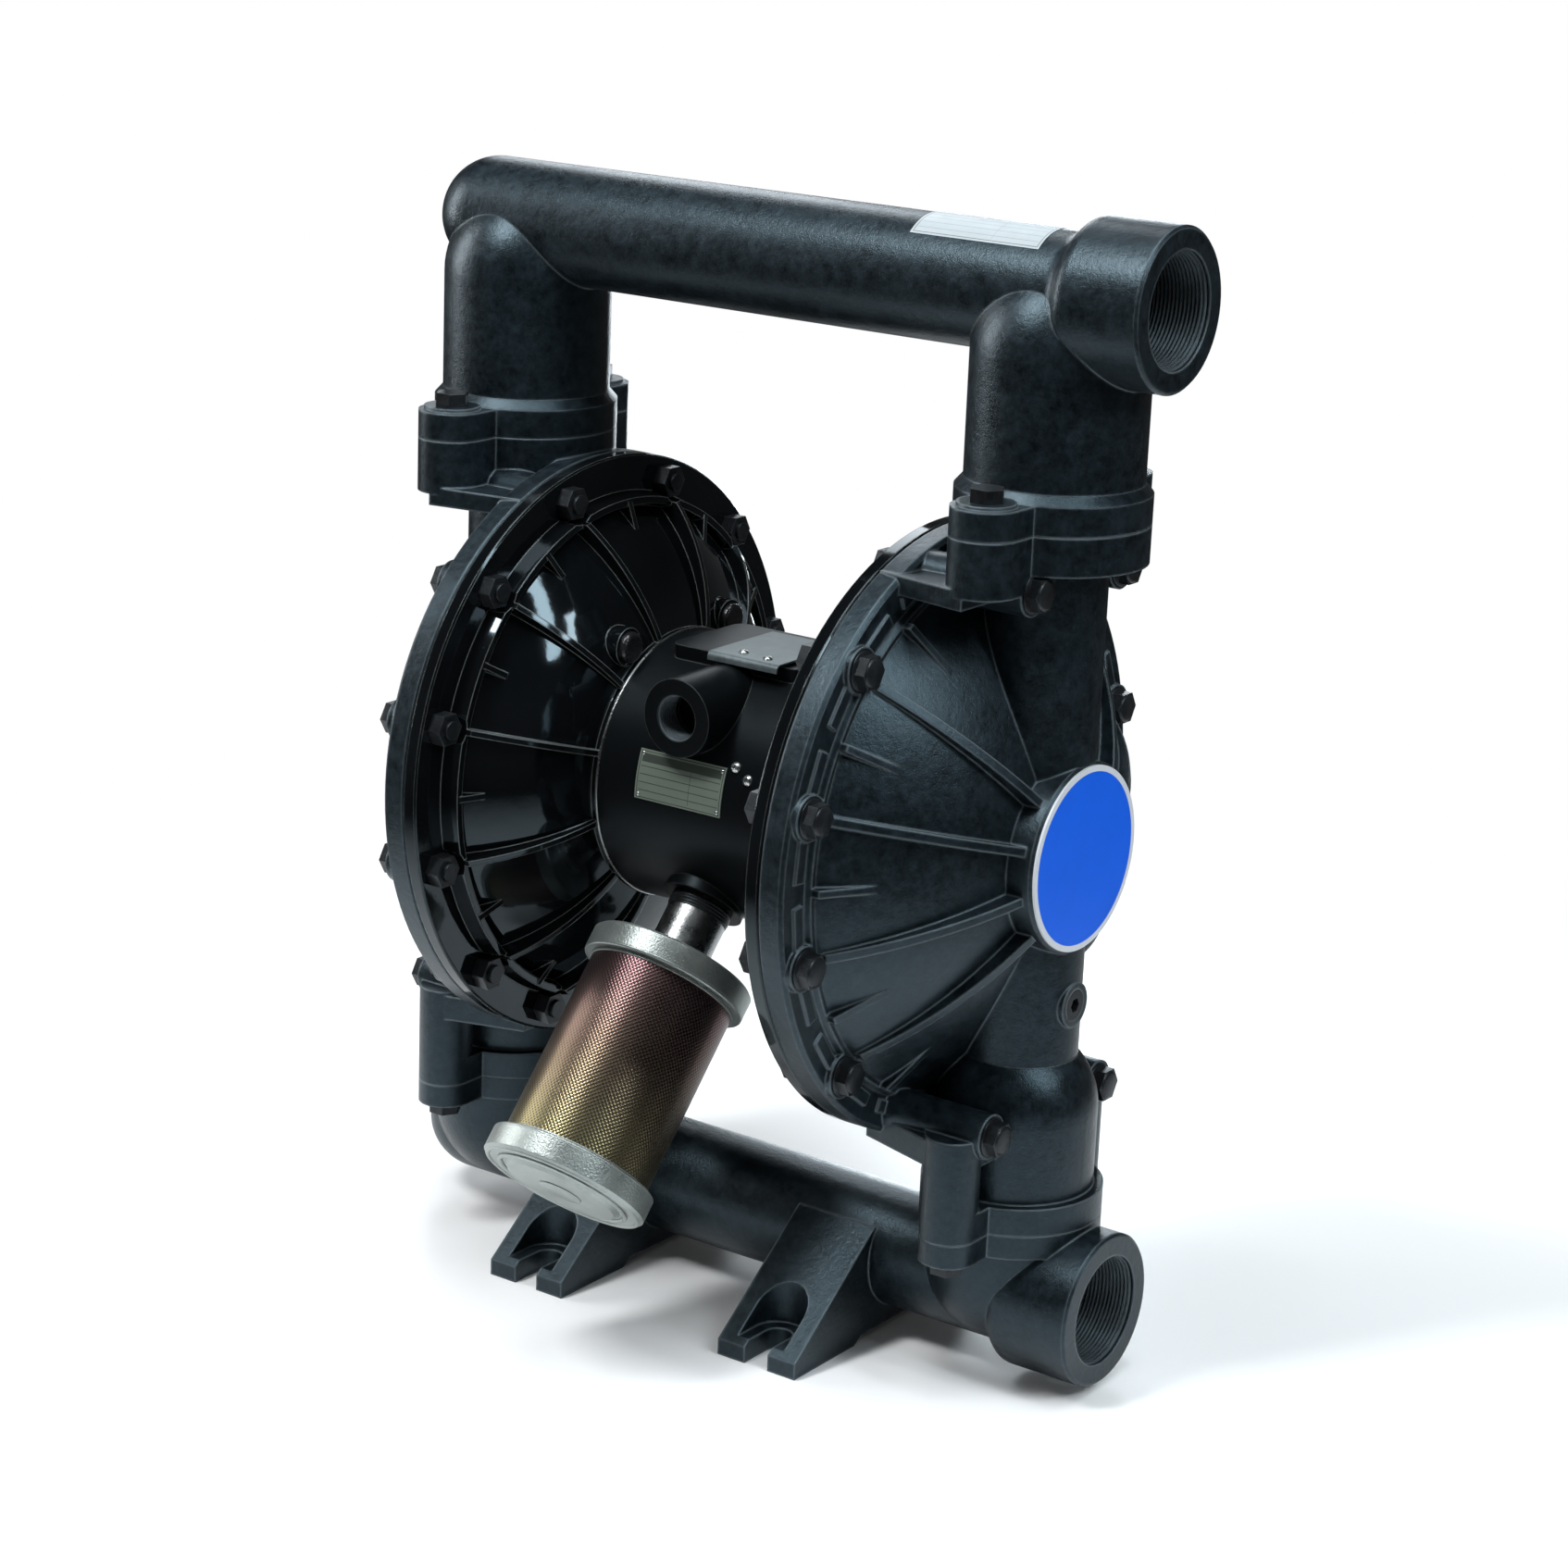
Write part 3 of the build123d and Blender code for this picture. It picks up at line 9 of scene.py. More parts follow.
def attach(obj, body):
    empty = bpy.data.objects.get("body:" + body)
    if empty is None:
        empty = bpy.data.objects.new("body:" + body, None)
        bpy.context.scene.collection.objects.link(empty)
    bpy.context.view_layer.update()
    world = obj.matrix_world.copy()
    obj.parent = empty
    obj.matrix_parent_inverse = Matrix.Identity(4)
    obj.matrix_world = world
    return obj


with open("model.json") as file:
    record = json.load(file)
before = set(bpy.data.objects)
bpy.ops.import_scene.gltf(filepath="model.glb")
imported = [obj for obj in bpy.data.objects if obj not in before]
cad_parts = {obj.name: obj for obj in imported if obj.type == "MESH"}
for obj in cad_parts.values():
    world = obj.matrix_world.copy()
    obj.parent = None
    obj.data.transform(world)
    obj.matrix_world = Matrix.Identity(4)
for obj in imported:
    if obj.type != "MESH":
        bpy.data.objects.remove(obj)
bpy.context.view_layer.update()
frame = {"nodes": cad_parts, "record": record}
print("frame loaded:", len(frame["nodes"]), "nodes")

mm = 0.001
# the pump's own measures in millimetres: rod height, drum, tubes and ports
pump = {"rodZ": 285.0, "drumR": 74.0, "drumX": 56.2, "tubeR": 32.0, "outletZ": 568.0, "inletZ": 44.3, "portR": 29.5}
axisZ = pump["rodZ"] * mm
meshing = {"merge": 2e-6, "sharp": 38}


class Val:
    # wraps a float socket, so that expressions on it add Math nodes
    def __init__(self, tree, socket):
        self.tree, self.socket = tree, socket

    def math(self, operation, a, b=None):
        node = self.tree.nodes.new("ShaderNodeMath")
        node.operation = operation
        for i, v in enumerate([a, b]):
            if isinstance(v, Val):
                self.tree.links.new(v.socket, node.inputs[i])
            elif v is not None:
                node.inputs[i].default_value = v
        return Val(self.tree, node.outputs[0])

    def __add__(self, o): return self.math("ADD", self, o)
    def __radd__(self, o): return self.math("ADD", o, self)
    def __sub__(self, o): return self.math("SUBTRACT", self, o)
    def __rsub__(self, o): return self.math("SUBTRACT", o, self)
    def __mul__(self, o): return self.math("MULTIPLY", self, o)
    def __truediv__(self, o): return self.math("DIVIDE", self, o)
    def __neg__(self): return self.math("MULTIPLY", self, -1.0)
    def sine(self): return self.math("SINE", self)
    def fraction(self): return self.math("FRACT", self)
    def size(self): return self.math("ABSOLUTE", self)
    def top(self, o): return self.math("MAXIMUM", self, o)
    def low(self, o): return self.math("MINIMUM", self, o)
    def root(self): return self.math("SQRT", self)

    def step(self, start, end):
        # 0 below start, 1 above end, smooth between
        node = self.tree.nodes.new("ShaderNodeMapRange")
        node.interpolation_type = "SMOOTHSTEP"
        self.tree.links.new(self.socket, node.inputs["Value"])
        node.inputs["From Min"].default_value = start
        node.inputs["From Max"].default_value = end
        return Val(self.tree, node.outputs[0])


class Finish:
    # one material: its tree, its shader and the nodes that feed it
    def __init__(self, name, **constants):
        self.mat = bpy.data.materials.new(name)
        self.mat.use_nodes = True
        self.tree = self.mat.node_tree
        self.shader = self.tree.nodes["Principled BSDF"]
        for key, value in constants.items():
            self.shader.inputs[key.replace("_", " ")].default_value = value
        self.place = self.add("ShaderNodeTexCoord", {}, {}).outputs["Object"]

    def add(self, kind, settings, sockets):
        node = self.tree.nodes.new(kind)
        for key, value in settings.items():
            if key == "stops":
                ramp = node.color_ramp
                while len(ramp.elements) < len(value):
                    ramp.elements.new(0.5)
                for element, (position, colour) in zip(ramp.elements, value):
                    element.position, element.color = position, colour
            else:
                setattr(node, key, value)
        for key, value in sockets.items():
            socket = node.inputs[key]
            if isinstance(value, Val):
                self.tree.links.new(value.socket, socket)
            elif isinstance(value, bpy.types.NodeSocket):
                self.tree.links.new(value, socket)
            else:
                socket.default_value = value
        return node

    def noise(self, scale, detail=3.0, rough=0.55):
        node = self.add("ShaderNodeTexNoise", {}, {
            "Vector": self.place, "Scale": scale, "Detail": detail, "Roughness": rough})
        return Val(self.tree, node.outputs[0])

    def cells(self, scale):
        node = self.add("ShaderNodeTexVoronoi", {}, {"Vector": self.place, "Scale": scale})
        return Val(self.tree, node.outputs["Distance"])

    def axes(self):
        node = self.add("ShaderNodeSeparateXYZ", {}, {"Vector": self.place})
        return [Val(self.tree, node.outputs[i]) for i in range(3)]

    def edges(self, radius):
        # one minus the cosine between the face's normal and its normal rounded over that radius: 0 on flats
        soft = self.add("ShaderNodeBevel", {"samples": 4}, {"Radius": radius})
        face = self.add("ShaderNodeNewGeometry", {}, {})
        lean = self.add("ShaderNodeVectorMath", {"operation": "DOT_PRODUCT"},
                        {0: soft.outputs[0], 1: face.outputs["Normal"]})
        return 1 - Val(self.tree, lean.outputs["Value"])

    def ramp(self, value, stops):
        return self.add("ShaderNodeValToRGB", {"stops": stops}, {"Fac": value}).outputs["Color"]

    def mix(self, factor, a, b):
        # the mix node takes its two colours at inputs 6 and 7 and gives their mixture at output 2
        return self.add("ShaderNodeMix", {"data_type": "RGBA"}, {0: factor, 6: a, 7: b}).outputs[2]

    def bump(self, height, distance, strength, soften=0.0):
        # soften rounds the sharp edges under the bump by that radius
        node = self.add("ShaderNodeBump", {}, {"Strength": strength, "Distance": distance, "Height": height})
        if soften:
            edge = self.add("ShaderNodeBevel", {"samples": 4}, {"Radius": soften})
            self.tree.links.new(edge.outputs[0], node.inputs["Normal"])
        self.link("Normal", node.outputs[0])

    def link(self, socket, value):
        self.tree.links.new(value.socket if isinstance(value, Val) else value, self.shader.inputs[socket])


def finishMesh(name, points, faces, material, body="pump_body", smooth=True):
    # doubles at poles are merged, and a shell whose volume comes out negative is turned round
    mesh = bpy.data.meshes.new(name)
    mesh.from_pydata(points.tolist(), [], faces)
    work = bmesh.new()
    work.from_mesh(mesh)
    bmesh.ops.remove_doubles(work, verts=work.verts, dist=meshing["merge"])
    if work.calc_volume(signed=True) < 0:
        bmesh.ops.reverse_faces(work, faces=work.faces)
    work.to_mesh(mesh)
    work.free()
    if smooth:
        mesh.polygons.foreach_set("use_smooth", np.ones(len(mesh.polygons), bool))
        mesh.set_sharp_from_angle(angle=math.radians(meshing["sharp"]))
    mesh.materials.append(material)
    mesh.update()
    obj = bpy.data.objects.new(name, mesh)
    bpy.context.scene.collection.objects.link(obj)
    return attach(obj, body) if body else obj


def quadsOf(index):
    # the four point numbers round each cell of a grid of point numbers
    return np.stack([index[:-1, :-1], index[:-1, 1:], index[1:, 1:], index[1:, :-1]], -1).reshape(-1, 4)


def grid(name, x, y, z, material, body="pump_body", closeU=False, closeV=False, smooth=True, sides=False):
    # one mesh from points x(u, v), y(u, v), z(u, v); rows and columns may close, sides caps the end columns
    rows, cols = x.shape
    points = np.stack([x, y, z], -1).reshape(-1, 3)
    index = np.arange(rows * cols).reshape(rows, cols)
    if closeU:
        index = np.vstack([index, index[:1]])
    if closeV:
        index = np.hstack([index, index[:, :1]])
    faces = quadsOf(index).tolist()
    if sides:
        faces.append(index[:rows, 0].tolist())
        faces.append(index[:rows, -1][::-1].tolist())
    return finishMesh(name, points, faces, material, body, smooth)


def frameAt(axis, side):
    # three unit vectors: side, up, axis
    n = np.array(axis, float) / np.linalg.norm(axis)
    u = np.array(side, float) - np.dot(side, n) * n
    u = u / np.linalg.norm(u)
    return u, np.cross(n, u), n


def swept(r, h, a, axes):
    # r (cos a u + sin a v) + h n, one array for each coordinate
    u, v, n = axes
    return [r * (np.cos(a) * u[i] + np.sin(a) * v[i]) + h * n[i] for i in range(3)]


def turned(name, profile, origin, axis, material, side=(0, 0, 1), steps=64, **more):
    # profile r(t), h(t) in millimetres carried round the axis: P = O + r(t) (cos a u + sin a v) + h(t) n
    p = np.array(profile, float)
    a = np.linspace(0, 2 * np.pi, steps, endpoint=False)
    ring = swept(p[:, :1], p[:, 1:2], a, frameAt(axis, side))
    return grid(name, *[(o + c) * mm for o, c in zip(origin, ring)], material, closeV=True, **more)


def castBlack():
    # matte black coated casting: mottled charcoal, fine grain, paler edges that are partly wear and partly a painted
    # edge highlight
    look = {"dark": (0.0018, 0.003, 0.004, 1), "pale": (0.012, 0.0185, 0.0235, 1), "wearAndHighlight": (0.21, 0.25, 0.27, 1),
            "tint": (0.62, 0.86, 1.0, 1), "rough": 0.34, "wearWidth": 0.0022, "softEdge": 0.002, "relief": 0.00045}
    f = Finish("castBlack", Roughness=look["rough"], Specular_IOR_Level=0.5, Specular_Tint=look["tint"])
    cloud = f.noise(26, 6, 0.68)
    patch = f.noise(135, 4, 0.62)
    fine = f.noise(330, 4, 0.65)
    grain = f.noise(1500, 2, 0.6)
    base = f.ramp(cloud * 0.25 + patch * 0.45 + fine * 0.3, [(0.4, look["dark"]), (0.62, look["pale"])])
    # edge mask: paler colour along edges and rib tops, partly wear and partly a painted highlight where light catches
    # them
    wear = (f.edges(look["wearWidth"]) + (fine - 0.5) * 0.12).step(0.03, 0.22)
    f.link("Base Color", f.mix(wear * 0.75, base, look["wearAndHighlight"]))
    f.link("Roughness", look["rough"] + (cloud - 0.5) * 0.16 + (patch - 0.5) * 0.16 + (fine - 0.5) * 0.08)
    f.bump(grain * 0.4 + fine * 0.7 + patch * 0.7, look["relief"], 0.6, soften=look["softEdge"])
    return f.mat


def enamelBlack(name, rough, gloss, wearAndHighlight):
    # enamel over a casting: near black, slow waves in the coat, dust, and thin pale lines along the edges, partly
    # where they wear through and partly a painted edge highlight
    look = {"deep": (0.0028, 0.0034, 0.004, 1), "dust": (0.014, 0.017, 0.02, 1), "edge": (0.42, 0.45, 0.43, 1),
            "tint": (0.72, 0.9, 1.0, 1), "wearWidth": 0.0011, "softEdge": 0.0012, "relief": 0.0006}
    f = Finish(name, Roughness=rough, Specular_IOR_Level=gloss, Specular_Tint=look["tint"])
    wave = f.noise(28, 2)
    dust = f.noise(260, 4, 0.7).step(0.62, 0.8)
    base = f.mix(dust * 0.35, look["deep"], look["dust"])
    # pale edge lines: partly wear, partly a painted highlight along rib tops and edges
    wear = (f.edges(look["wearWidth"]) + (f.noise(180, 3, 0.6) - 0.5) * 0.08).step(0.05, 0.25)
    f.link("Base Color", f.mix(wear * wearAndHighlight, base, look["edge"]))
    f.link("Roughness", rough + dust * 0.16 + (wave - 0.5) * 0.05)
    f.bump(wave + f.noise(160, 2) * 0.12, look["relief"], 0.4, soften=look["softEdge"])
    return f.mat


def metal(name, dark, pale, rough, scale=60, bump=0.0002, metallic=1.0):
    # machined or plated metal: two tones by cloud noise, a fine grain in tone and roughness, paler edges
    look = {"grain": 900, "wearWidth": 0.0009, "softEdge": 0.0006, "brighter": 1.6}
    f = Finish(name, Metallic=metallic, Roughness=rough)
    cloud = f.noise(scale, 4, 0.6)
    grain = f.noise(look["grain"], 2, 0.5)
    wear = f.edges(look["wearWidth"]).step(0.03, 0.2)
    base = f.ramp(cloud * 0.75 + grain * 0.25, [(0.3, dark), (0.7, pale)])
    bare = tuple(min(1, c * look["brighter"]) for c in pale[:3]) + (1,)
    f.link("Base Color", f.mix(wear * 0.35, base, bare))
    f.link("Roughness", rough + (cloud - 0.5) * 0.3 + (grain - 0.5) * 0.15)
    f.bump(grain + cloud * 0.4, bump, 0.5, soften=look["softEdge"])
    return f.mat


def softSkin(name, dark, pale, rough, **constants):
    # rubber or moulded plastic: small colour clouds and a fine moulded skin
    look = {"clouds": 40, "skin": 700, "relief": 0.0003}
    f = Finish(name, Roughness=rough, **constants)
    cloud = f.noise(look["clouds"], 4, 0.6)
    f.link("Base Color", f.ramp(cloud, [(0.3, dark), (0.7, pale)]))
    f.link("Roughness", rough + (cloud - 0.5) * 0.25)
    f.bump(f.cells(look["skin"]) + cloud * 0.5, look["relief"], 0.4)
    return f.mat


# muffler, in millimetres along its axis from the rod: it slants down to the front by the angle; pitch is its wires',
# rim and band are how far the cap rims and the screen's bands stand in from its two ends
muffler = {"angle": 48.0, "top": 112.6, "length": 134.0, "radius": 40.5, "pitch": 2.5, "rim": 13.0, "band": 14.0}
slant = math.radians(muffler["angle"])


def mufflerAxes(f):
    # height down the muffler and two directions across it, from object coordinates
    x, y, z = f.axes()
    down = y * -math.cos(slant) + (z - axisZ) * -math.sin(slant)
    across = y * -math.sin(slant) + (z - axisZ) * math.cos(slant)
    return down, x, across


def meshScreen():
    # woven bronze screen: sine round it times sine down it for the wires, brown at the top and olive at the bottom
    look = {"top": (0.13, 0.07, 0.074, 1), "mid": (0.13, 0.09, 0.064, 1), "low": (0.19, 0.165, 0.085, 1),
            "hole": (0.016, 0.012, 0.010, 1)}
    f = Finish("meshScreen", Metallic=0.75, Roughness=0.42)
    down, x, across = mufflerAxes(f)
    turn = f.add("ShaderNodeMath", {"operation": "ARCTAN2"}, {0: across, 1: x})
    around = Val(f.tree, turn.outputs[0]) * (muffler["radius"] * mm)
    k = 2 * math.pi / (muffler["pitch"] * mm)
    holes = (around * k).sine() * (down * k).sine()
    mask = holes.step(0.05, 0.55)
    t = (down - muffler["top"] * mm) / (muffler["length"] * mm)
    cloud = f.noise(35, 4, 0.6)
    base = f.ramp(t + (cloud - 0.5) * 0.25, [(0.12, look["top"]), (0.5, look["mid"]), (0.86, look["low"])])
    f.link("Base Color", f.mix(mask * 0.92, base, look["hole"]))
    f.link("Roughness", 0.29 + mask * 0.3 + (cloud - 0.5) * 0.08)
    f.link("Metallic", 1 - mask * 0.7)
    f.bump(-holes, 0.00012, 0.5)
    return f.mat


def badgeBlue():
    # printed enamel disc: blue field inside a pale ring, both under a clear coat
    look = {"field": (0.002, 0.14, 0.92, 1), "deep": (0.002, 0.12, 0.8, 1), "ring": (0.70, 0.73, 0.78, 1),
            "ringR": 0.0452, "soft": 0.0003, "ragged": 0.0002}
    f = Finish("badgeBlue", Roughness=0.35, Specular_IOR_Level=0.3, Coat_Weight=0.1, Coat_Roughness=0.12)
    x, y, z = f.axes()
    r = (y * y + (z - axisZ) * (z - axisZ)).root()
    speck = f.noise(900, 2) - 0.5
    field = f.mix(f.noise(30, 3), look["field"], look["deep"])
    ring = (r + speck * look["ragged"]).step(look["ringR"], look["ringR"] + look["soft"])
    f.link("Base Color", f.mix(ring, field, look["ring"]))
    f.link("Roughness", 0.33 + f.noise(120, 3) * 0.12)
    f.bump(ring * 0.5 + f.noise(220, 2) * 0.1, 0.0003, 0.5)
    return f.mat


def printedTag(name, look, size, rough, metallic=0.0):
    # blank form on the piece's own UV map in millimetres: a border line, a filled heading, ruled rows and one post
    pen = {"soft": 0.15, "wide": 0.45, "inset": 1.3, "postAt": 0.62, "postHalf": 0.12, "fade": 0.82}
    f = Finish(name, Roughness=rough, Metallic=metallic)
    uv = f.add("ShaderNodeUVMap", {"uv_map": "tag"}, {}).outputs[0]
    node = f.add("ShaderNodeSeparateXYZ", {}, {"Vector": uv})
    u, v = Val(f.tree, node.outputs[0]), Val(f.tree, node.outputs[1])
    edge = (size[0] / 2 - (u - size[0] / 2).size()).low(size[1] / 2 - (v - size[1] / 2).size())
    start, end = look["border"], look["border"] + pen["wide"]
    line = edge.step(start, start + pen["soft"]) * (1 - edge.step(end, end + pen["soft"]))
    inside = edge.step(start + pen["inset"], start + pen["inset"] + 0.2)
    row = (v / look["row"]).fraction()
    rule = row.step(0.06, 0.1) * (1 - row.step(0.17, 0.21)) * inside * look["rule"]
    head = inside * (1 - v.step(look["head"], look["head"] + 0.1)) * look["fill"]
    fromPost = (u - size[0] * pen["postAt"]).size()
    post = (1 - fromPost.step(pen["postHalf"], pen["postHalf"] + 0.08)) * inside * look["rule"]
    ink = line.top(rule).top(head).top(post)
    cloud = f.noise(120, 4, 0.6)
    base = f.mix(cloud, look["paper"], tuple(c * pen["fade"] for c in look["paper"][:3]) + (1,))
    f.link("Base Color", f.mix(ink * 0.85, base, look["ink"]))
    f.link("Roughness", rough + (cloud - 0.5) * 0.2)
    f.bump(ink * -0.3 + cloud * 0.4, 0.0002, 0.4)
    return f.mat


cast = castBlack()
enamel = enamelBlack("enamelBlack", 0.07, 0.45, 0.5)
satin = enamelBlack("drumSatin", 0.38, 0.12, 0.2)
boltBlack = metal("boltBlack", (0.012, 0.014, 0.016, 1), (0.045, 0.05, 0.055, 1), 0.36, metallic=0.7)
zinc = metal("zincSteel", (0.42, 0.43, 0.43, 1), (0.62, 0.63, 0.62, 1), 0.3)
rodSteel = metal("rodSteel", (0.5, 0.5, 0.5, 1), (0.68, 0.68, 0.67, 1), 0.18)
castPlate = metal("castPlate", (0.15, 0.155, 0.16, 1), (0.26, 0.265, 0.27, 1), 0.5, bump=0.0005, metallic=0.6)
capZinc = metal("capZinc", (0.2, 0.225, 0.215, 1), (0.36, 0.395, 0.38, 1), 0.37, scale=35, bump=0.0004, metallic=0.75)
pipeZinc = metal("pipeZinc", (0.2, 0.21, 0.21, 1), (0.42, 0.43, 0.43, 1), 0.3, scale=90)
rubber = softSkin("rubberBlack", (0.012, 0.012, 0.013, 1), (0.03, 0.03, 0.032, 1), 0.62)
ballSkin = softSkin("ballRubber", (0.028, 0.027, 0.026, 1), (0.06, 0.058, 0.055, 1), 0.5)
seatSkin = softSkin("seatPlastic", (0.55, 0.53, 0.47, 1), (0.68, 0.66, 0.60, 1), 0.42, Subsurface_Weight=0.1)
plugSkin = softSkin("plugBlack", (0.006, 0.006, 0.007, 1), (0.016, 0.016, 0.018, 1), 0.25)
screen = meshScreen()
badge = badgeBlue()
print("materials made")

finishes = {
    "matte_black": cast, "gloss_black": enamel, "black_steel": boltBlack, "zinc_steel": zinc, "rod_steel": rodSteel,
    "cast_plate": castPlate, "rubber_black": rubber, "ball_rubber": ballSkin, "seat_plastic": seatSkin,
    "plug_black": plugSkin, "muffler_zinc": capZinc, "muffler_bronze": screen, "badge_blue": badge}
# two pieces wear a variant of their slot's finish: a duller drum and a brighter nipple
variants = {"muffler_nipple": pipeZinc, "center_housing": satin}
slots = {p["node"]: p["material_slot"] for p in frame["record"]["subparts"]}
for name, obj in frame["nodes"].items():
    material = variants.get(name, finishes[slots[name]])
    obj.data.materials.clear()
    obj.data.materials.append(material)
print("pump pieces painted")

# threads, in millimetres
pipeThread = {"pitch": 2.2, "depth": 1.25}
airThread = {"pitch": 1.8, "depth": 0.9}
nippleThread = {"pitch": 1.8, "depth": 0.6}


def thread(name, radius, length, origin, axis, material, pitch, depth, inside=True):
    # helix: r(a, h) = R -+ (wall + depth fade(h) (0.5 + 0.5 cos(2 pi h / pitch - a))^0.8), where fade rises from
    # 0 at both ends to 1 one pitch further in; closed behind by a plain wall
    cut = {"wall": 0.12, "behind": 0.02, "steps": 72, "perPitch": 8}
    sign = -1 if inside else 1
    rows = int(length / pitch * cut["perPitch"]) + 1
    h = np.linspace(0, length, rows)[:, None]
    a = np.linspace(0, 2 * np.pi, cut["steps"], endpoint=False)[None, :]
    fade = np.clip(np.minimum(h, length - h) / pitch, 0, 1)
    ridge = depth * fade * (0.5 + 0.5 * np.cos(2 * np.pi * h / pitch - a)) ** 0.8
    r = np.vstack([radius + sign * (cut["wall"] + ridge), np.full((2, cut["steps"]), radius + sign * cut["behind"])])
    h = np.vstack([h + 0 * a, length + 0 * a, 0 * a])
    if inside:
        r, h = r[::-1], h[::-1]
    ring = swept(r, h, a, frameAt(axis, (0, 0, 1)))
    return grid(name, *[(o + c) * mm for o, c in zip(origin, ring)], material, closeU=True, closeV=True)


thread("outlet_thread", pump["portR"], 31.0, (201.5, 0, pump["outletZ"]), (1, 0, 0), cast, **pipeThread)
thread("inlet_thread", pump["portR"], 31.0, (198.5, 0, pump["inletZ"]), (1, 0, 0), cast, **pipeThread)
thread("air_inlet_thread", 12.2, 16.0, (0, -63.5, 336.0), (0, -1, 0), cast, **airThread)
print("port threads cut")

# fasteners, in millimetres: a flange under each hexagon head and a chamfered crown on it
fastener = {"head": 7.0, "holeR": 5.5, "gap": 0.05, "edgeT": 0.7, "flangeR": 10.4, "shoulderR": 8.2, "flangeT": 1.7,
            "crownR": 7.7, "crownT": 0.9}
# rim bolts on a circle about the rod, at angles in degrees: plain ones on the air covers' side, tall ones on the
# fluid covers' columns; clamp bolts at the corners of a rectangle at each joint of a manifold
rim = {"r": 149.0, "plainX": 131.5, "plain": [15, 45, 135, 165, 195, 225, 315, 345],
       "tallX": 188.0, "tall": [73.5, 106.5, 249.5, 290.5]}
clamp = {"x": 170.0, "outletY": 62.0, "outletZ": 474.0, "inletY": 60.0, "inletZ": 76.0}


def headTrim(name, places, axis):
    # every head's flange and crown in one mesh: P = place + r(t) (cos a u + sin a v) + h(t) n about each bolt
    f, axes = fastener, frameAt(axis, (0, 0, 1))
    flange = [(f["holeR"], f["gap"]), (f["flangeR"], f["gap"]), (f["flangeR"], f["edgeT"]),
              (f["shoulderR"], f["flangeT"]), (f["holeR"], f["flangeT"])]
    crown = [(0.0, f["head"] - 0.2), (f["crownR"] + 0.1, f["head"] - 0.2), (f["crownR"], f["head"] + 0.02),
             (f["crownR"] - 0.8, f["head"] + f["crownT"] * 0.7), (f["crownR"] - 1.6, f["head"] + f["crownT"]),
             (0.0, f["head"] + f["crownT"])]
    a = np.linspace(0, 2 * np.pi, 28, endpoint=False)[None, :]
    points, faces, start = [], [], 0
    for profile, closed in ((flange, True), (crown, False)):
        p = np.array(profile)
        local = np.stack(swept(p[:, :1], p[:, 1:2], a, axes), -1)
        rows, cols = local.shape[:2]
        index = np.arange(rows * cols).reshape(rows, cols)
        if closed:
            index = np.vstack([index, index[:1]])
        quads = quadsOf(np.hstack([index, index[:, :1]]))
        for place in places:
            points.append((local + np.array(place)).reshape(-1, 3) * mm)
            faces.append(quads + start)
            start += rows * cols
    return finishMesh(name, np.vstack(points), np.vstack(faces).tolist(), boltBlack)


def rimSpots(x, angles):
    return [(x, rim["r"] * math.cos(b), pump["rodZ"] + rim["r"] * math.sin(b)) for b in map(math.radians, angles)]


def corners(x, y, z):
    return [(i * x, j * y, z) for i in (-1, 1) for j in (-1, 1)]


for side, word in ((1, "right"), (-1, "left")):
    spots = rimSpots(side * rim["plainX"], rim["plain"]) + rimSpots(side * rim["tallX"], rim["tall"])
    headTrim("rim_bolt_trim_" + word, spots, (side, 0, 0))
headTrim("outlet_bolt_trim", corners(clamp["x"], clamp["outletY"], clamp["outletZ"]), (0, 0, 1))
headTrim("inlet_bolt_trim", corners(clamp["x"], clamp["inletY"], clamp["inletZ"]), (0, 0, -1))
print("bolt heads trimmed")

# muffler: rolled rims on both caps, a stepped end, bands on the screen, and the nipple's thread
mufflerAxis = (0.0, -math.cos(slant), -math.sin(slant))
mufflerEnd = muffler["top"] + muffler["length"]


def onMuffler(distance):
    # point on the muffler's axis, that far from the pump's rod
    return (0.0, mufflerAxis[1] * distance, pump["rodZ"] + mufflerAxis[2] * distance)


def mufflerTurn(name, profile, distance, steps=96, closeU=True):
    origin = onMuffler(distance)
    return turned(name, profile, origin, mufflerAxis, capZinc, side=(1, 0, 0), steps=steps, closeU=closeU)


def bead(r, size):
    # round bead: (r + s cos t, s sin t)
    t = np.linspace(0, 2 * np.pi, 16, endpoint=False)
    return np.stack([r + size * np.cos(t), size * np.sin(t)], -1)


mufflerTurn("cap_rim_top", bead(44.5, 1.2), muffler["top"] + muffler["rim"])
mufflerTurn("cap_rim_bottom", bead(44.5, 1.2), mufflerEnd - muffler["rim"])
mufflerTurn("cap_roll_bottom", bead(42.9, 1.5), mufflerEnd - 0.6)
endStep = [(37.2, -0.5), (37.2, 0.8), (36.4, 1.3), (35.2, 1.3), (34.4, 0.6), (34.4, -0.5)]
mufflerTurn("cap_step_bottom", endStep, mufflerEnd)
endBoss = [(0.0, 2.3), (12.0, 2.3), (12.0, 3.0), (11.0, 3.5), (0.0, 3.5)]
mufflerTurn("cap_boss_bottom", endBoss, mufflerEnd, steps=48, closeU=False)
seam = {"inner": muffler["radius"], "outer": muffler["radius"] + 0.8, "tall": 1.8}
seamLine = [(seam["inner"], 0.0), (seam["outer"], 0.2), (seam["outer"], 1.6), (seam["inner"], seam["tall"])]
mufflerTurn("screen_band_top", seamLine, muffler["top"] + muffler["band"])
mufflerTurn("screen_band_bottom", seamLine, mufflerEnd - muffler["band"] - seam["tall"])
thread("nipple_thread_top", 16.6, 7.5, onMuffler(77.3), mufflerAxis, boltBlack, inside=False, **nippleThread)
print("muffler trimmed")


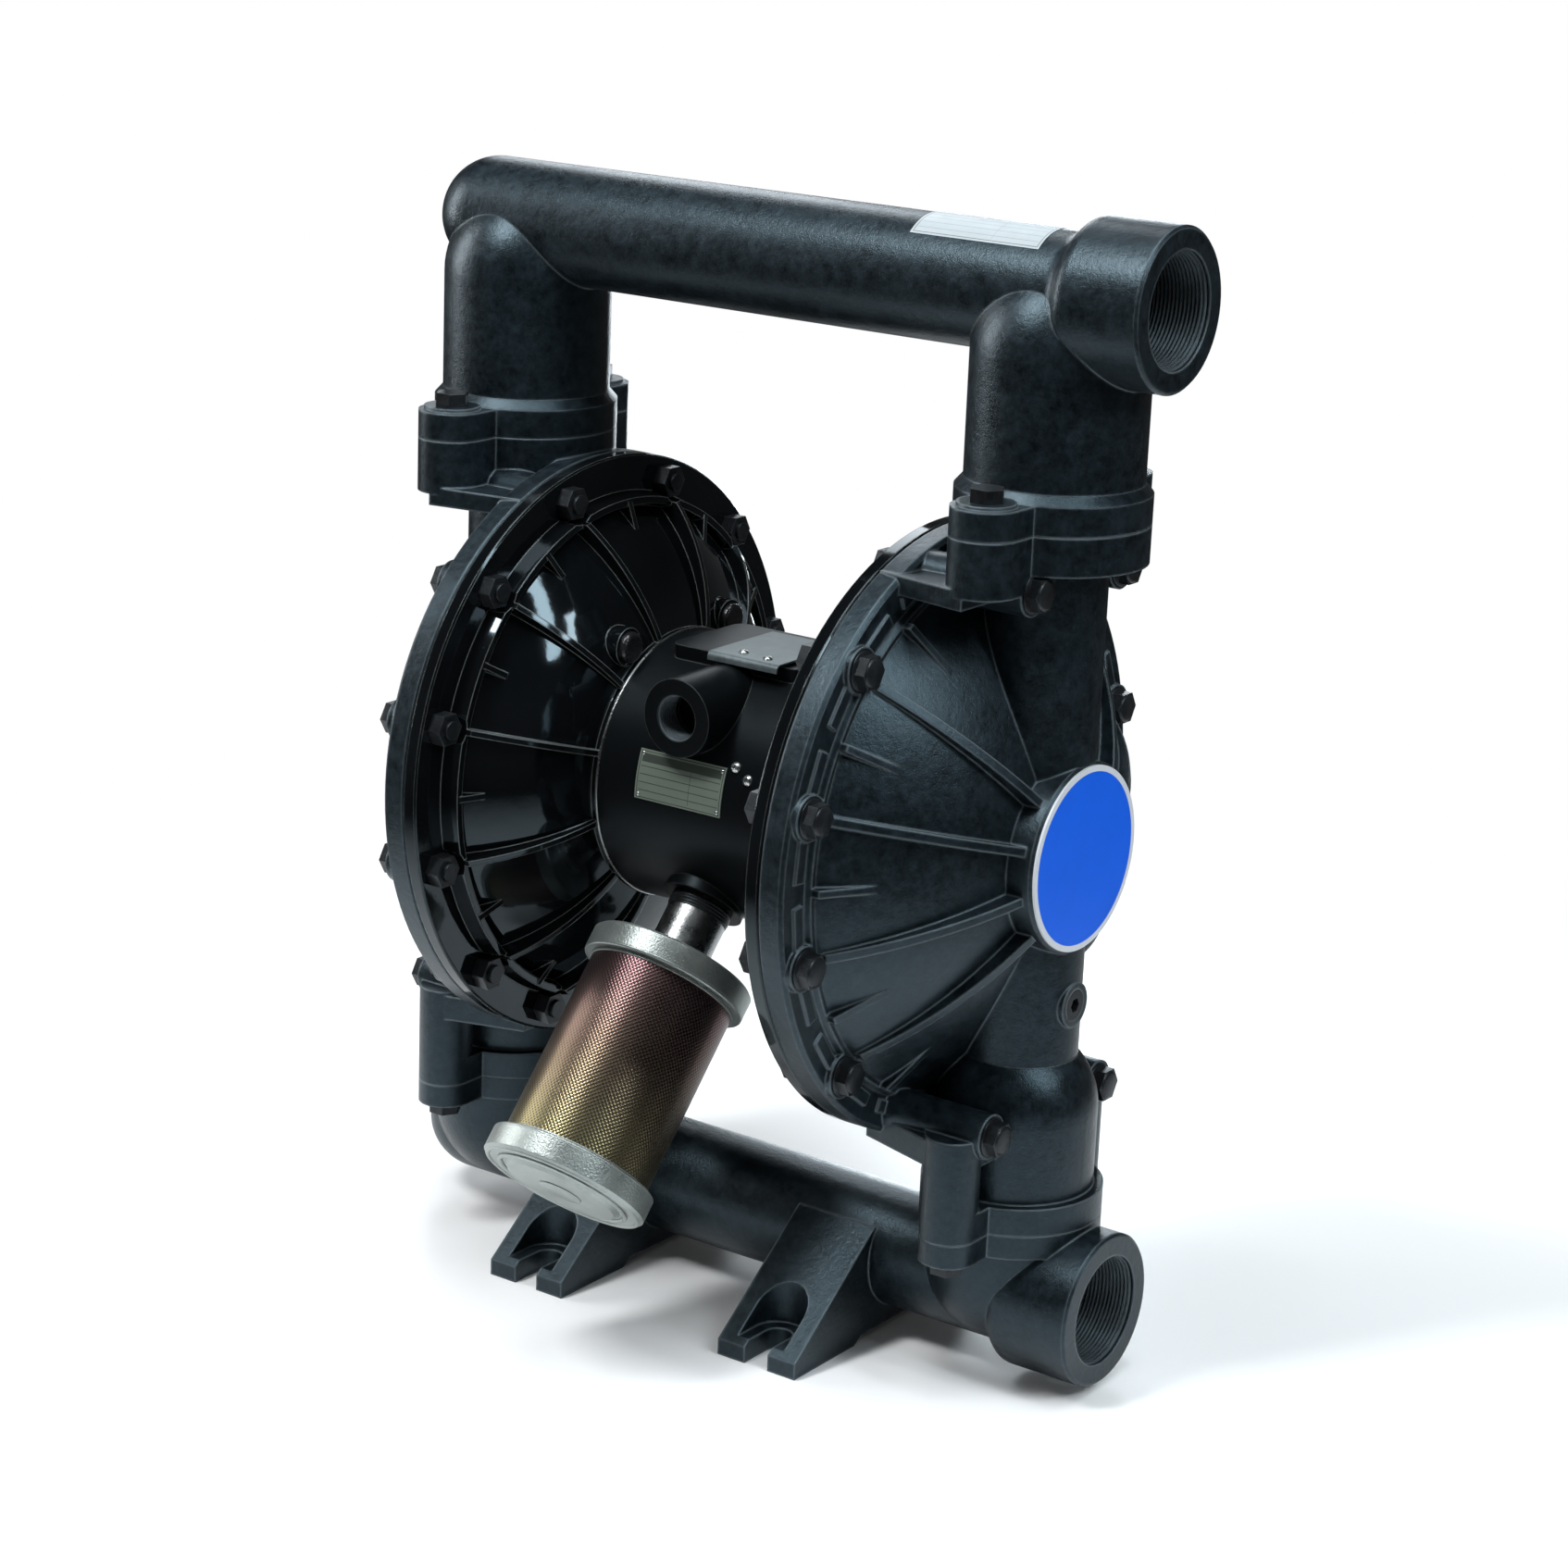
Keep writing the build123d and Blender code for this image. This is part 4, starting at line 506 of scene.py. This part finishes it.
# plates and labels, all without wording
def wrapped(name, x0, x1, a0, a1, radius, height, thick, material):
    # sheet on a cylinder along x: P = (x, -R sin a, Z + R cos a), closed behind, uv in millimetres
    a = np.radians(np.linspace(a0, a1, 14))
    r = np.concatenate([np.full(len(a), radius + thick), np.full(len(a), radius + 0.02)])[:, None]
    a = np.concatenate([a, a[::-1]])[:, None]
    x = np.linspace(x0, x1, 22)[None, :] + 0 * a
    p = [x * mm, -r * np.sin(a) * mm + 0 * x, (height + r * np.cos(a)) * mm + 0 * x]
    obj = grid(name, *p, material, closeU=True, sides=True)
    co = np.empty(len(obj.data.vertices) * 3)
    obj.data.vertices.foreach_get("co", co)
    co = co.reshape(-1, 3) / mm
    turn = np.degrees(np.arctan2(-co[:, 1], co[:, 2] - height))
    uv = np.stack([co[:, 0] - x0, np.radians(turn - a0) * radius], -1)
    loops = np.empty(len(obj.data.loops), np.int32)
    obj.data.loops.foreach_get("vertex_index", loops)
    layer = obj.data.uv_layers.new(name="tag")
    layer.data.foreach_set("uv", uv[loops].ravel())
    return obj


def strip(name, path, thick, x0, x1, material):
    # folded sheet: the path (y, z) and its copy moved by the thickness along its normals, carried along x
    edge = 0.4
    p = np.array(path, float)
    t = np.gradient(p, axis=0)
    t = t / np.linalg.norm(t, axis=1)[:, None]
    outer = p + np.stack([t[:, 1], -t[:, 0]], -1) * thick
    ring = np.vstack([p, outer[::-1]])
    x = np.array([x0, x0 + edge, x1 - edge, x1])[None, :] + 0 * ring[:, :1]
    return grid(name, x * mm, ring[:, :1] * mm + 0 * x, ring[:, 1:] * mm + 0 * x, material, closeU=True, sides=True)


def dome(name, spots, r, h, socket=0.0):
    # button heads: P = place + r cos t (cos a u + sin a v) + h sin t n, some with a sunk centre
    t = np.linspace(0, np.pi / 2, 7)
    profile = np.stack([r * np.cos(t), h * np.sin(t)], -1)
    if socket:
        profile = np.vstack([profile[:4], [[socket, h], [socket, h * 0.35], [0.0, h * 0.35]]])
    profile = np.vstack([[[0.0, -0.5]], [[r, -0.5]], profile])
    a = np.linspace(0, 2 * np.pi, 24, endpoint=False)[None, :]
    points, faces, start = [], [], 0
    for place, normal in spots:
        axes = frameAt(normal, (1, 0.01, 0))
        local = np.stack(swept(profile[:, :1], profile[:, 1:], a, axes), -1) + np.array(place)
        rows, cols = local.shape[:2]
        index = np.arange(rows * cols).reshape(rows, cols)
        faces.append(quadsOf(np.hstack([index, index[:, :1]])) + start)
        points.append(local.reshape(-1, 3) * mm)
        start += rows * cols
    return finishMesh(name, np.vstack(points), np.vstack(faces).tolist(), zinc)


# serial plate on the drum, its angles counted up from the front line, and the sticker on the upper tube
plate = {"x0": -30.0, "x1": 26.0, "low": 1.0, "high": 21.5, "thick": 0.6, "insetX": 2.2, "insetAngle": 1.8}
tag = {"x0": 91.0, "x1": 166.0, "back": -9.0, "front": 42.0, "thick": 0.15}

serialLook = {"paper": (0.19, 0.23, 0.19, 1), "ink": (0.02, 0.026, 0.022, 1), "border": 0.8, "row": 4.2, "rule": 0.9,
              "head": 6.6, "fill": 0.9}
stickerLook = {"paper": (0.36, 0.40, 0.42, 1), "ink": (0.06, 0.07, 0.08, 1), "border": 1.1, "row": 4.6, "rule": 0.4,
               "head": 5.5, "fill": 0.3}
serialFinish = printedTag("serialPlate", serialLook, (56, 26.5), 0.38, 0.3)
stickerFinish = printedTag("stickerWhite", stickerLook, (75, 28.5), 0.5)
plateZinc = metal("topPlateZinc", (0.065, 0.084, 0.09, 1), (0.16, 0.19, 0.2, 1), 0.5, scale=70, metallic=0.6)
wrapped("serial_plate", plate["x0"], plate["x1"], 90 - plate["high"], 90 - plate["low"],
        pump["drumR"], pump["rodZ"], plate["thick"], serialFinish)
wrapped("tube_sticker", tag["x0"], tag["x1"], tag["back"], tag["front"],
        pump["tubeR"], pump["outletZ"], tag["thick"], stickerFinish)


def onDrum(x, angle, lift=0.0):
    # point on the drum's front, at an angle above the front line, and its outward direction
    a = math.radians(angle)
    n = (0.0, -math.cos(a), math.sin(a))
    r = pump["drumR"] + lift
    return (x, n[1] * r, pump["rodZ"] + n[2] * r), n


rivets = [onDrum(x, a, plate["thick"])
          for x in (plate["x0"] + plate["insetX"], plate["x1"] - plate["insetX"])
          for a in (plate["low"] + plate["insetAngle"], plate["high"] - plate["insetAngle"])]
dome("serial_rivets", rivets, 1.15, 0.7)
dome("drum_screws", [onDrum(31.0, 22.5), onDrum(40.0, 18.5)], 3.0, 2.2, socket=1.4)

# top plate: flat, folded down at the front round a small radius, its tip a little lower still
topPlate = {"z": 361.2, "thick": 1.1, "x0": -12.0, "x1": 33.0, "flat": (20.0, 0.0, -20.0),
            "foldY": -35.5, "foldR": 2.0, "foldAngle": 80, "tip": (-37.6, 357.6)}
fold = np.radians(np.linspace(0, topPlate["foldAngle"], 7))
foldZ = topPlate["z"] - topPlate["foldR"]
lip = [(topPlate["foldY"] - topPlate["foldR"] * math.sin(a), foldZ + topPlate["foldR"] * math.cos(a)) for a in fold]
outline = [(y, topPlate["z"]) for y in topPlate["flat"]] + lip + [topPlate["tip"]]
strip("top_plate", outline, topPlate["thick"], topPlate["x0"], topPlate["x1"], plateZinc)
plateTop = topPlate["z"] + topPlate["thick"]
plateScrews = [((4.0, -28.0, plateTop), (0, 0, 1)), ((21.0, -30.0, plateTop), (0, 0, 1))]
dome("top_plate_screws", plateScrews, 2.6, 1.5, socket=1.1)

# the drum's turned ends show as a thin bare line against each air cover
joint = {"inner": pump["drumR"], "outer": pump["drumR"] + 0.6, "width": 1.0}
jointLine = [(joint["inner"], 0.0), (joint["outer"], 0.1), (joint["outer"], 0.9), (joint["inner"], joint["width"])]
for side, x in (("left", -pump["drumX"]), ("right", pump["drumX"] - joint["width"])):
    turned("joint_line_" + side, jointLine, (x, 0, pump["rodZ"]), (1, 0, 0), zinc, steps=128, closeU=True)
print("plates and labels fixed")

# stage, in metres
stage = {"paper": (0.95, 0.955, 0.96, 1), "shade": (0.93, 0.935, 0.94, 1), "reach": 9.0, "below": 0.0001,
         "fadeIn": 0.35, "fadeOut": 1.0}


def paperFloor():
    # white paper that thins out to the backdrop far from the pump, with a weak sheen
    f = Finish("paperFloor", Roughness=0.32, Specular_IOR_Level=0.25)
    x, y, z = f.axes()
    r = (x * x + y * y).root()
    fade = r.step(stage["fadeIn"], stage["fadeOut"])
    f.link("Base Color", f.mix(f.noise(3, 2) * 0.3, stage["paper"], stage["shade"]))
    clear = f.add("ShaderNodeBsdfTransparent", {}, {})
    both = f.add("ShaderNodeMixShader", {}, {0: fade, 1: f.shader.outputs[0], 2: clear.outputs[0]})
    out = f.tree.nodes["Material Output"]
    f.tree.links.new(both.outputs[0], out.inputs["Surface"])
    return f.mat


gridLine = np.linspace(-stage["reach"], stage["reach"], 9)
fx, fy = np.meshgrid(gridLine, gridLine)
floor = grid("floor", fx, fy, 0 * fx - stage["below"], paperFloor(), body=None, smooth=False)

# world: the camera sees white, reflections see near darkness with a faint band at the horizon, and a weak fill
studio = {"dark": 0.018, "band": 0.05, "fill": 0.2}
world = bpy.data.worlds.new("studio")
bpy.context.scene.world = world
world.use_nodes = True
tree = world.node_tree
backdrop = tree.nodes["Background"]
ray = tree.nodes.new("ShaderNodeLightPath")
seen = Val(tree, ray.outputs["Is Camera Ray"]).top(Val(tree, ray.outputs["Is Transmission Ray"]))
isGlossy = Val(tree, ray.outputs["Is Glossy Ray"])
direction = tree.nodes.new("ShaderNodeTexCoord")
split = tree.nodes.new("ShaderNodeSeparateXYZ")
tree.links.new(direction.outputs["Generated"], split.inputs[0])
height = Val(tree, split.outputs[2])
horizon = height.step(-0.35, 0.0) * (1 - height.step(0.12, 0.5))
strength = seen.top(isGlossy * (studio["dark"] + horizon * studio["band"]) + (1 - isGlossy) * studio["fill"])
tree.links.new(strength.socket, backdrop.inputs["Strength"])
backdrop.inputs["Color"].default_value = (1, 1, 1, 1)


def softbox(name, place, aim, width, tall, power, tint=(1, 1, 1)):
    lamp = bpy.data.lights.new(name, "AREA")
    lamp.shape, lamp.size, lamp.size_y = "RECTANGLE", width, tall
    lamp.energy, lamp.color = power, tint
    obj = bpy.data.objects.new(name, lamp)
    bpy.context.scene.collection.objects.link(obj)
    obj.location = place
    obj.rotation_euler = (Vector(aim) - Vector(place)).to_track_quat("-Z", "Y").to_euler()


softbox("keyBox", (-0.6, -1.15, 2.3), (0, 0, 0.3), 0.35, 0.7, 40, (0.97, 0.99, 1.0))
softbox("rightBox", (1.8, 0.1, 1.6), (0, 0, 0.3), 0.22, 0.7, 9, (0.9, 0.96, 1.0))
softbox("streakBox", (1.41, -0.3, 1.98), (-0.09, -0.08, 0.37), 0.24, 1.5, 18, (0.85, 0.95, 1.0))
softbox("tubeBox", (-1.3, 1.5, 1.6), (0, 0, 0.4), 0.5, 1.2, 9, (0.9, 0.96, 1.0))
softbox("leftBox", (-1.9, -0.6, 0.9), (0, 0, 0.25), 0.14, 1.3, 20)
softbox("backStrip", (-1.0, 2.0, 0.35), (0, 0, 0.3), 0.22, 1.5, 10, (0.85, 0.94, 1.0))
softbox("topBox", (0.1, -0.15, 2.3), (0, 0, 0.4), 1.3, 0.8, 25, (0.92, 0.97, 1.0))
print("lights set")

# camera: angles in degrees, aim in millimetres, distance in metres
shot = {"azimuth": 35.11, "elevation": 16.36, "roll": 2.33, "lens": 83.71, "sensor": 36,
        "aim": (13.44, 0, 286.19), "distance": 1.95218, "near": 0.1, "far": 60}
az, el, roll = (math.radians(shot[a]) for a in ("azimuth", "elevation", "roll"))
back = Vector((math.sin(az) * math.cos(el), -math.cos(az) * math.cos(el), math.sin(el)))
level = Vector((0, 0, 1)).cross(back).normalized()
upright = back.cross(level)
camX = level * math.cos(roll) + upright * math.sin(roll)
camY = -level * math.sin(roll) + upright * math.cos(roll)
camData = bpy.data.cameras.new("mainCamera")
camData.lens, camData.sensor_width = shot["lens"], shot["sensor"]
camData.clip_start, camData.clip_end = shot["near"], shot["far"]
camera = bpy.data.objects.new("mainCamera", camData)
bpy.context.scene.collection.objects.link(camera)
spin = Matrix((camX, camY, back)).transposed().to_4x4()
camera.matrix_world = Matrix.Translation(Vector(shot["aim"]) * mm + back * shot["distance"]) @ spin
bpy.context.scene.camera = camera
bpy.context.scene.view_settings.view_transform = "Standard"
print("camera placed")
